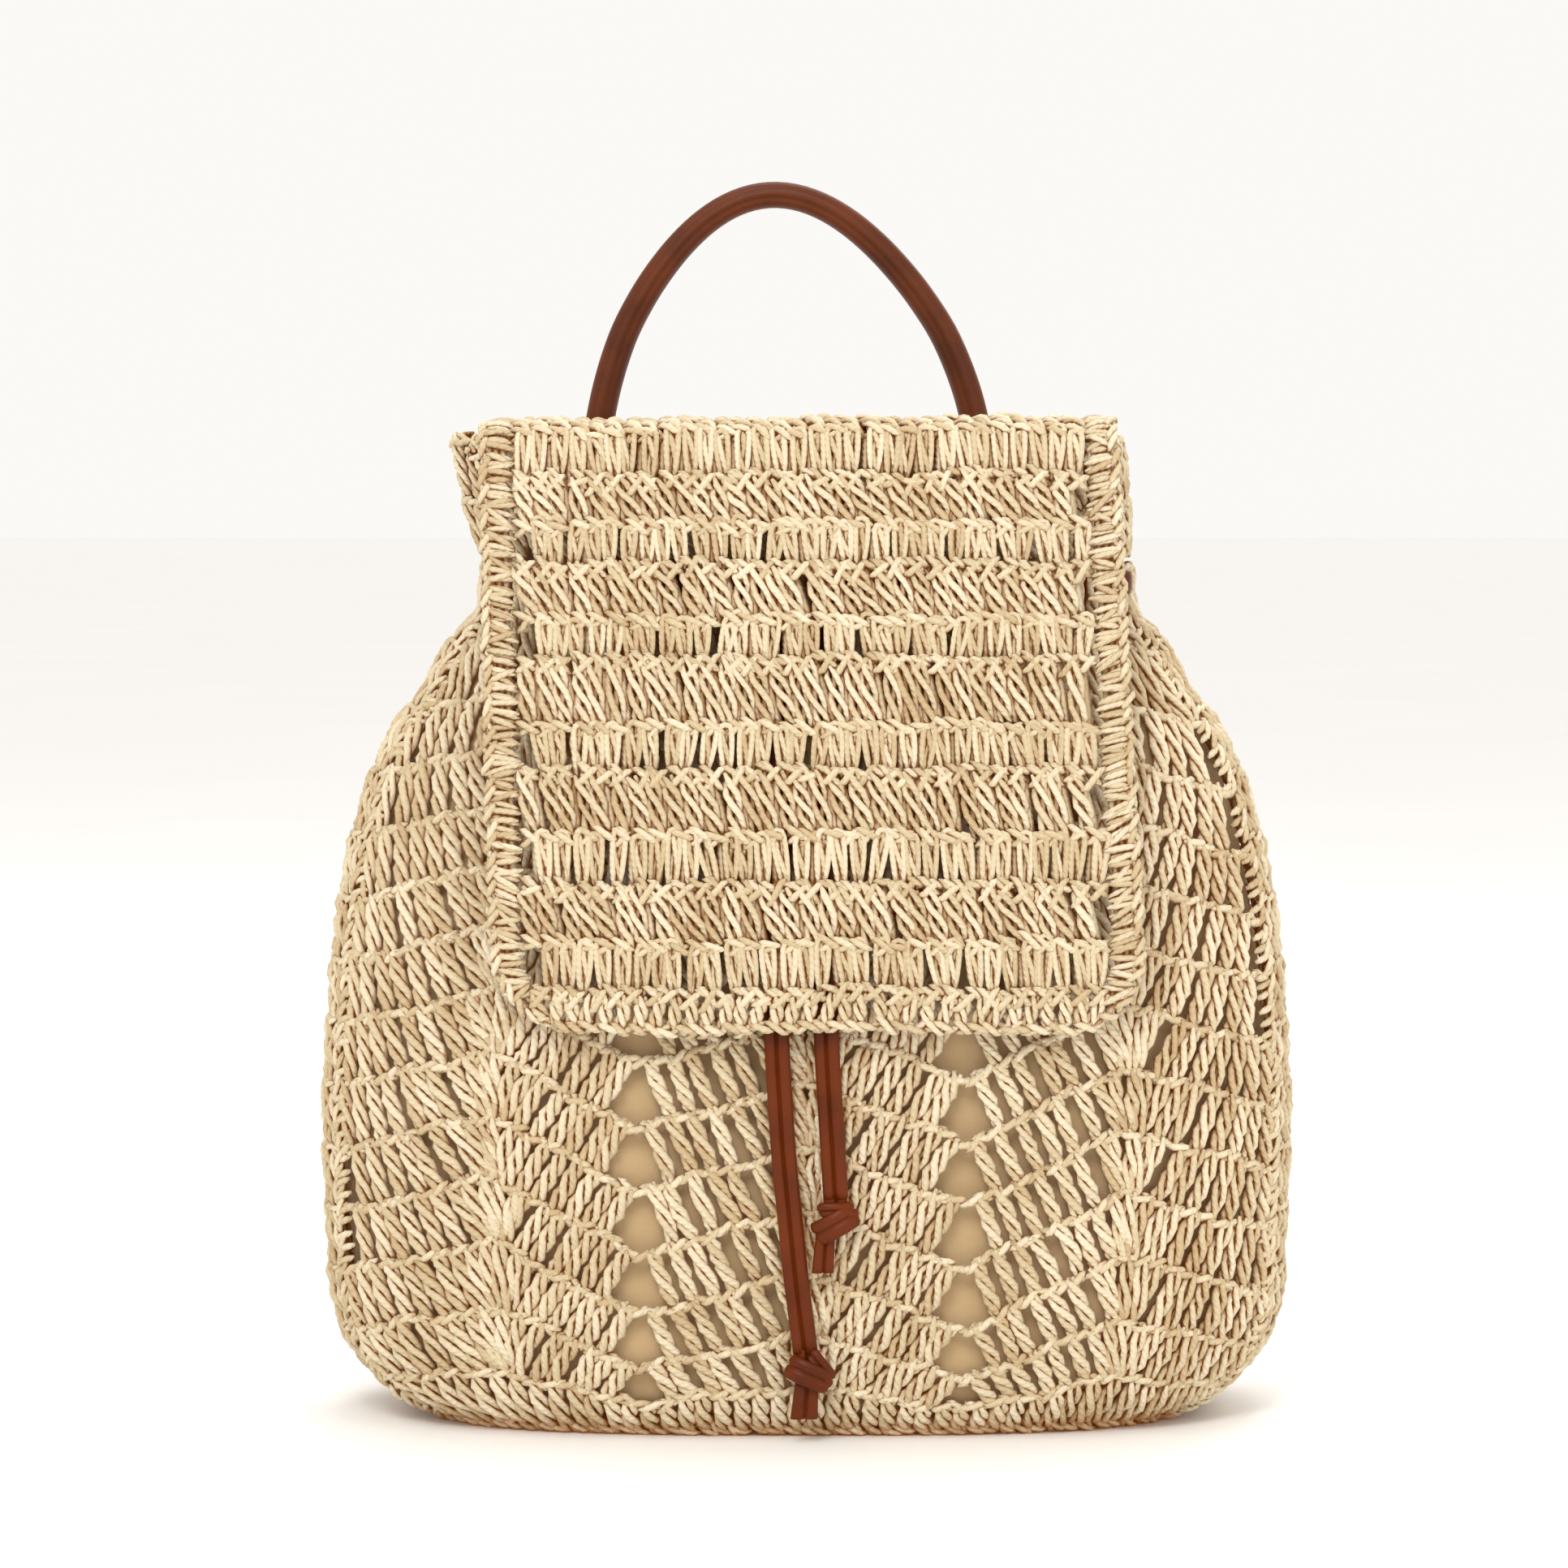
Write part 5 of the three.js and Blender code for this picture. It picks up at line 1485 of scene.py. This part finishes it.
class STRAWBAG_OT_straps(bpy.types.Operator):
    """Make the two shoulder straps, the patch over their tops and the finish of their sliders"""
    bl_idname = "strawbag.straps"
    bl_label = "Shoulder Straps"

    def execute(self, context):
        width = context.scene.straw_bag_sizes.strap_width * 1000
        leather = material("strap_cowhide")
        section = strap_section(width, STRAP_THICK)
        work = Crochet(97)
        for side_name, sign in (("left", -1), ("right", 1)):
            path, side, out = strap_lines(sign, 110)
            rings = (path[:, None] + side[:, None] * section[None, :, :1]
                     + out[:, None] * section[None, :, 1:2])
            place(f"strap_{side_name}_leather", join_rings(f"strap_{side_name}_leather", [rings]),
                  leather, "strap_leather", f"strap_{side_name}")
            for edge in (-1, 1):
                line = path + side * (edge * width * 0.39) + out * 1.15
                stitch_row(work, line[3:-3], out[3:-3], lift=0.05)
            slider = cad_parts[f"strap_slider_{side_name}"]
            slider.data.materials.clear()
            slider.data.materials.append(material("nickel_plated_steel"))
        lift = ON_BACK + STRAP_THICK + GAP * 6
        patch = back_plate("strap_patch_leather", 0, PATCH_BOTTOM, PATCH_WIDTH, PATCH_HEIGHT,
                           PATCH_THICK, lift)
        place("strap_patch_leather", patch, leather, "strap_leather", "strap_patch")
        plate_stitches(work, 0, PATCH_BOTTOM, PATCH_WIDTH, PATCH_HEIGHT, lift + PATCH_THICK)
        place("strap_stitches", work.mesh("strap_stitches"), material("waxed_thread"), "strap_leather")
        return {"FINISHED"}


class STRAWBAG_PT_pieces(bpy.types.Panel):
    """Lists the bag's pieces and settings"""
    bl_idname = "STRAWBAG_PT_pieces"
    bl_label = "Straw Backpack"
    bl_space_type = "VIEW_3D"
    bl_region_type = "UI"
    bl_category = "Straw Backpack"

    def draw(self, context):
        for operator in OPERATORS:
            self.layout.operator(operator.bl_idname)
        for group in (context.scene.straw_bag_sizes, context.scene.straw_bag_colours):
            for name in group.__annotations__:
                self.layout.prop(group, name)


OPERATORS = (
    STRAWBAG_OT_camera,
    STRAWBAG_OT_drawstring,
    STRAWBAG_OT_panels,
    STRAWBAG_OT_gusset,
    STRAWBAG_OT_collar,
    STRAWBAG_OT_lining,
    STRAWBAG_OT_flap,
    STRAWBAG_OT_handle,
    STRAWBAG_OT_straps,
)
CLASSES = (StrawBagSizes, StrawBagColours, *OPERATORS, STRAWBAG_PT_pieces)


def register():
    for cls in CLASSES:
        bpy.utils.register_class(cls)
    bpy.types.Scene.straw_bag_sizes = bpy.props.PointerProperty(type=StrawBagSizes)
    bpy.types.Scene.straw_bag_colours = bpy.props.PointerProperty(type=StrawBagColours)


def unregister():
    del bpy.types.Scene.straw_bag_colours
    del bpy.types.Scene.straw_bag_sizes
    for cls in reversed(CLASSES):
        bpy.utils.unregister_class(cls)


def main():
    register()
    bpy.ops.strawbag.camera()
    bpy.ops.strawbag.drawstring()
    bpy.ops.strawbag.panels()
    bpy.ops.strawbag.gusset()
    bpy.ops.strawbag.collar()
    bpy.ops.strawbag.lining()
    bpy.ops.strawbag.flap()
    bpy.ops.strawbag.handle()
    bpy.ops.strawbag.straps()


if __name__ == "__main__":
    main()
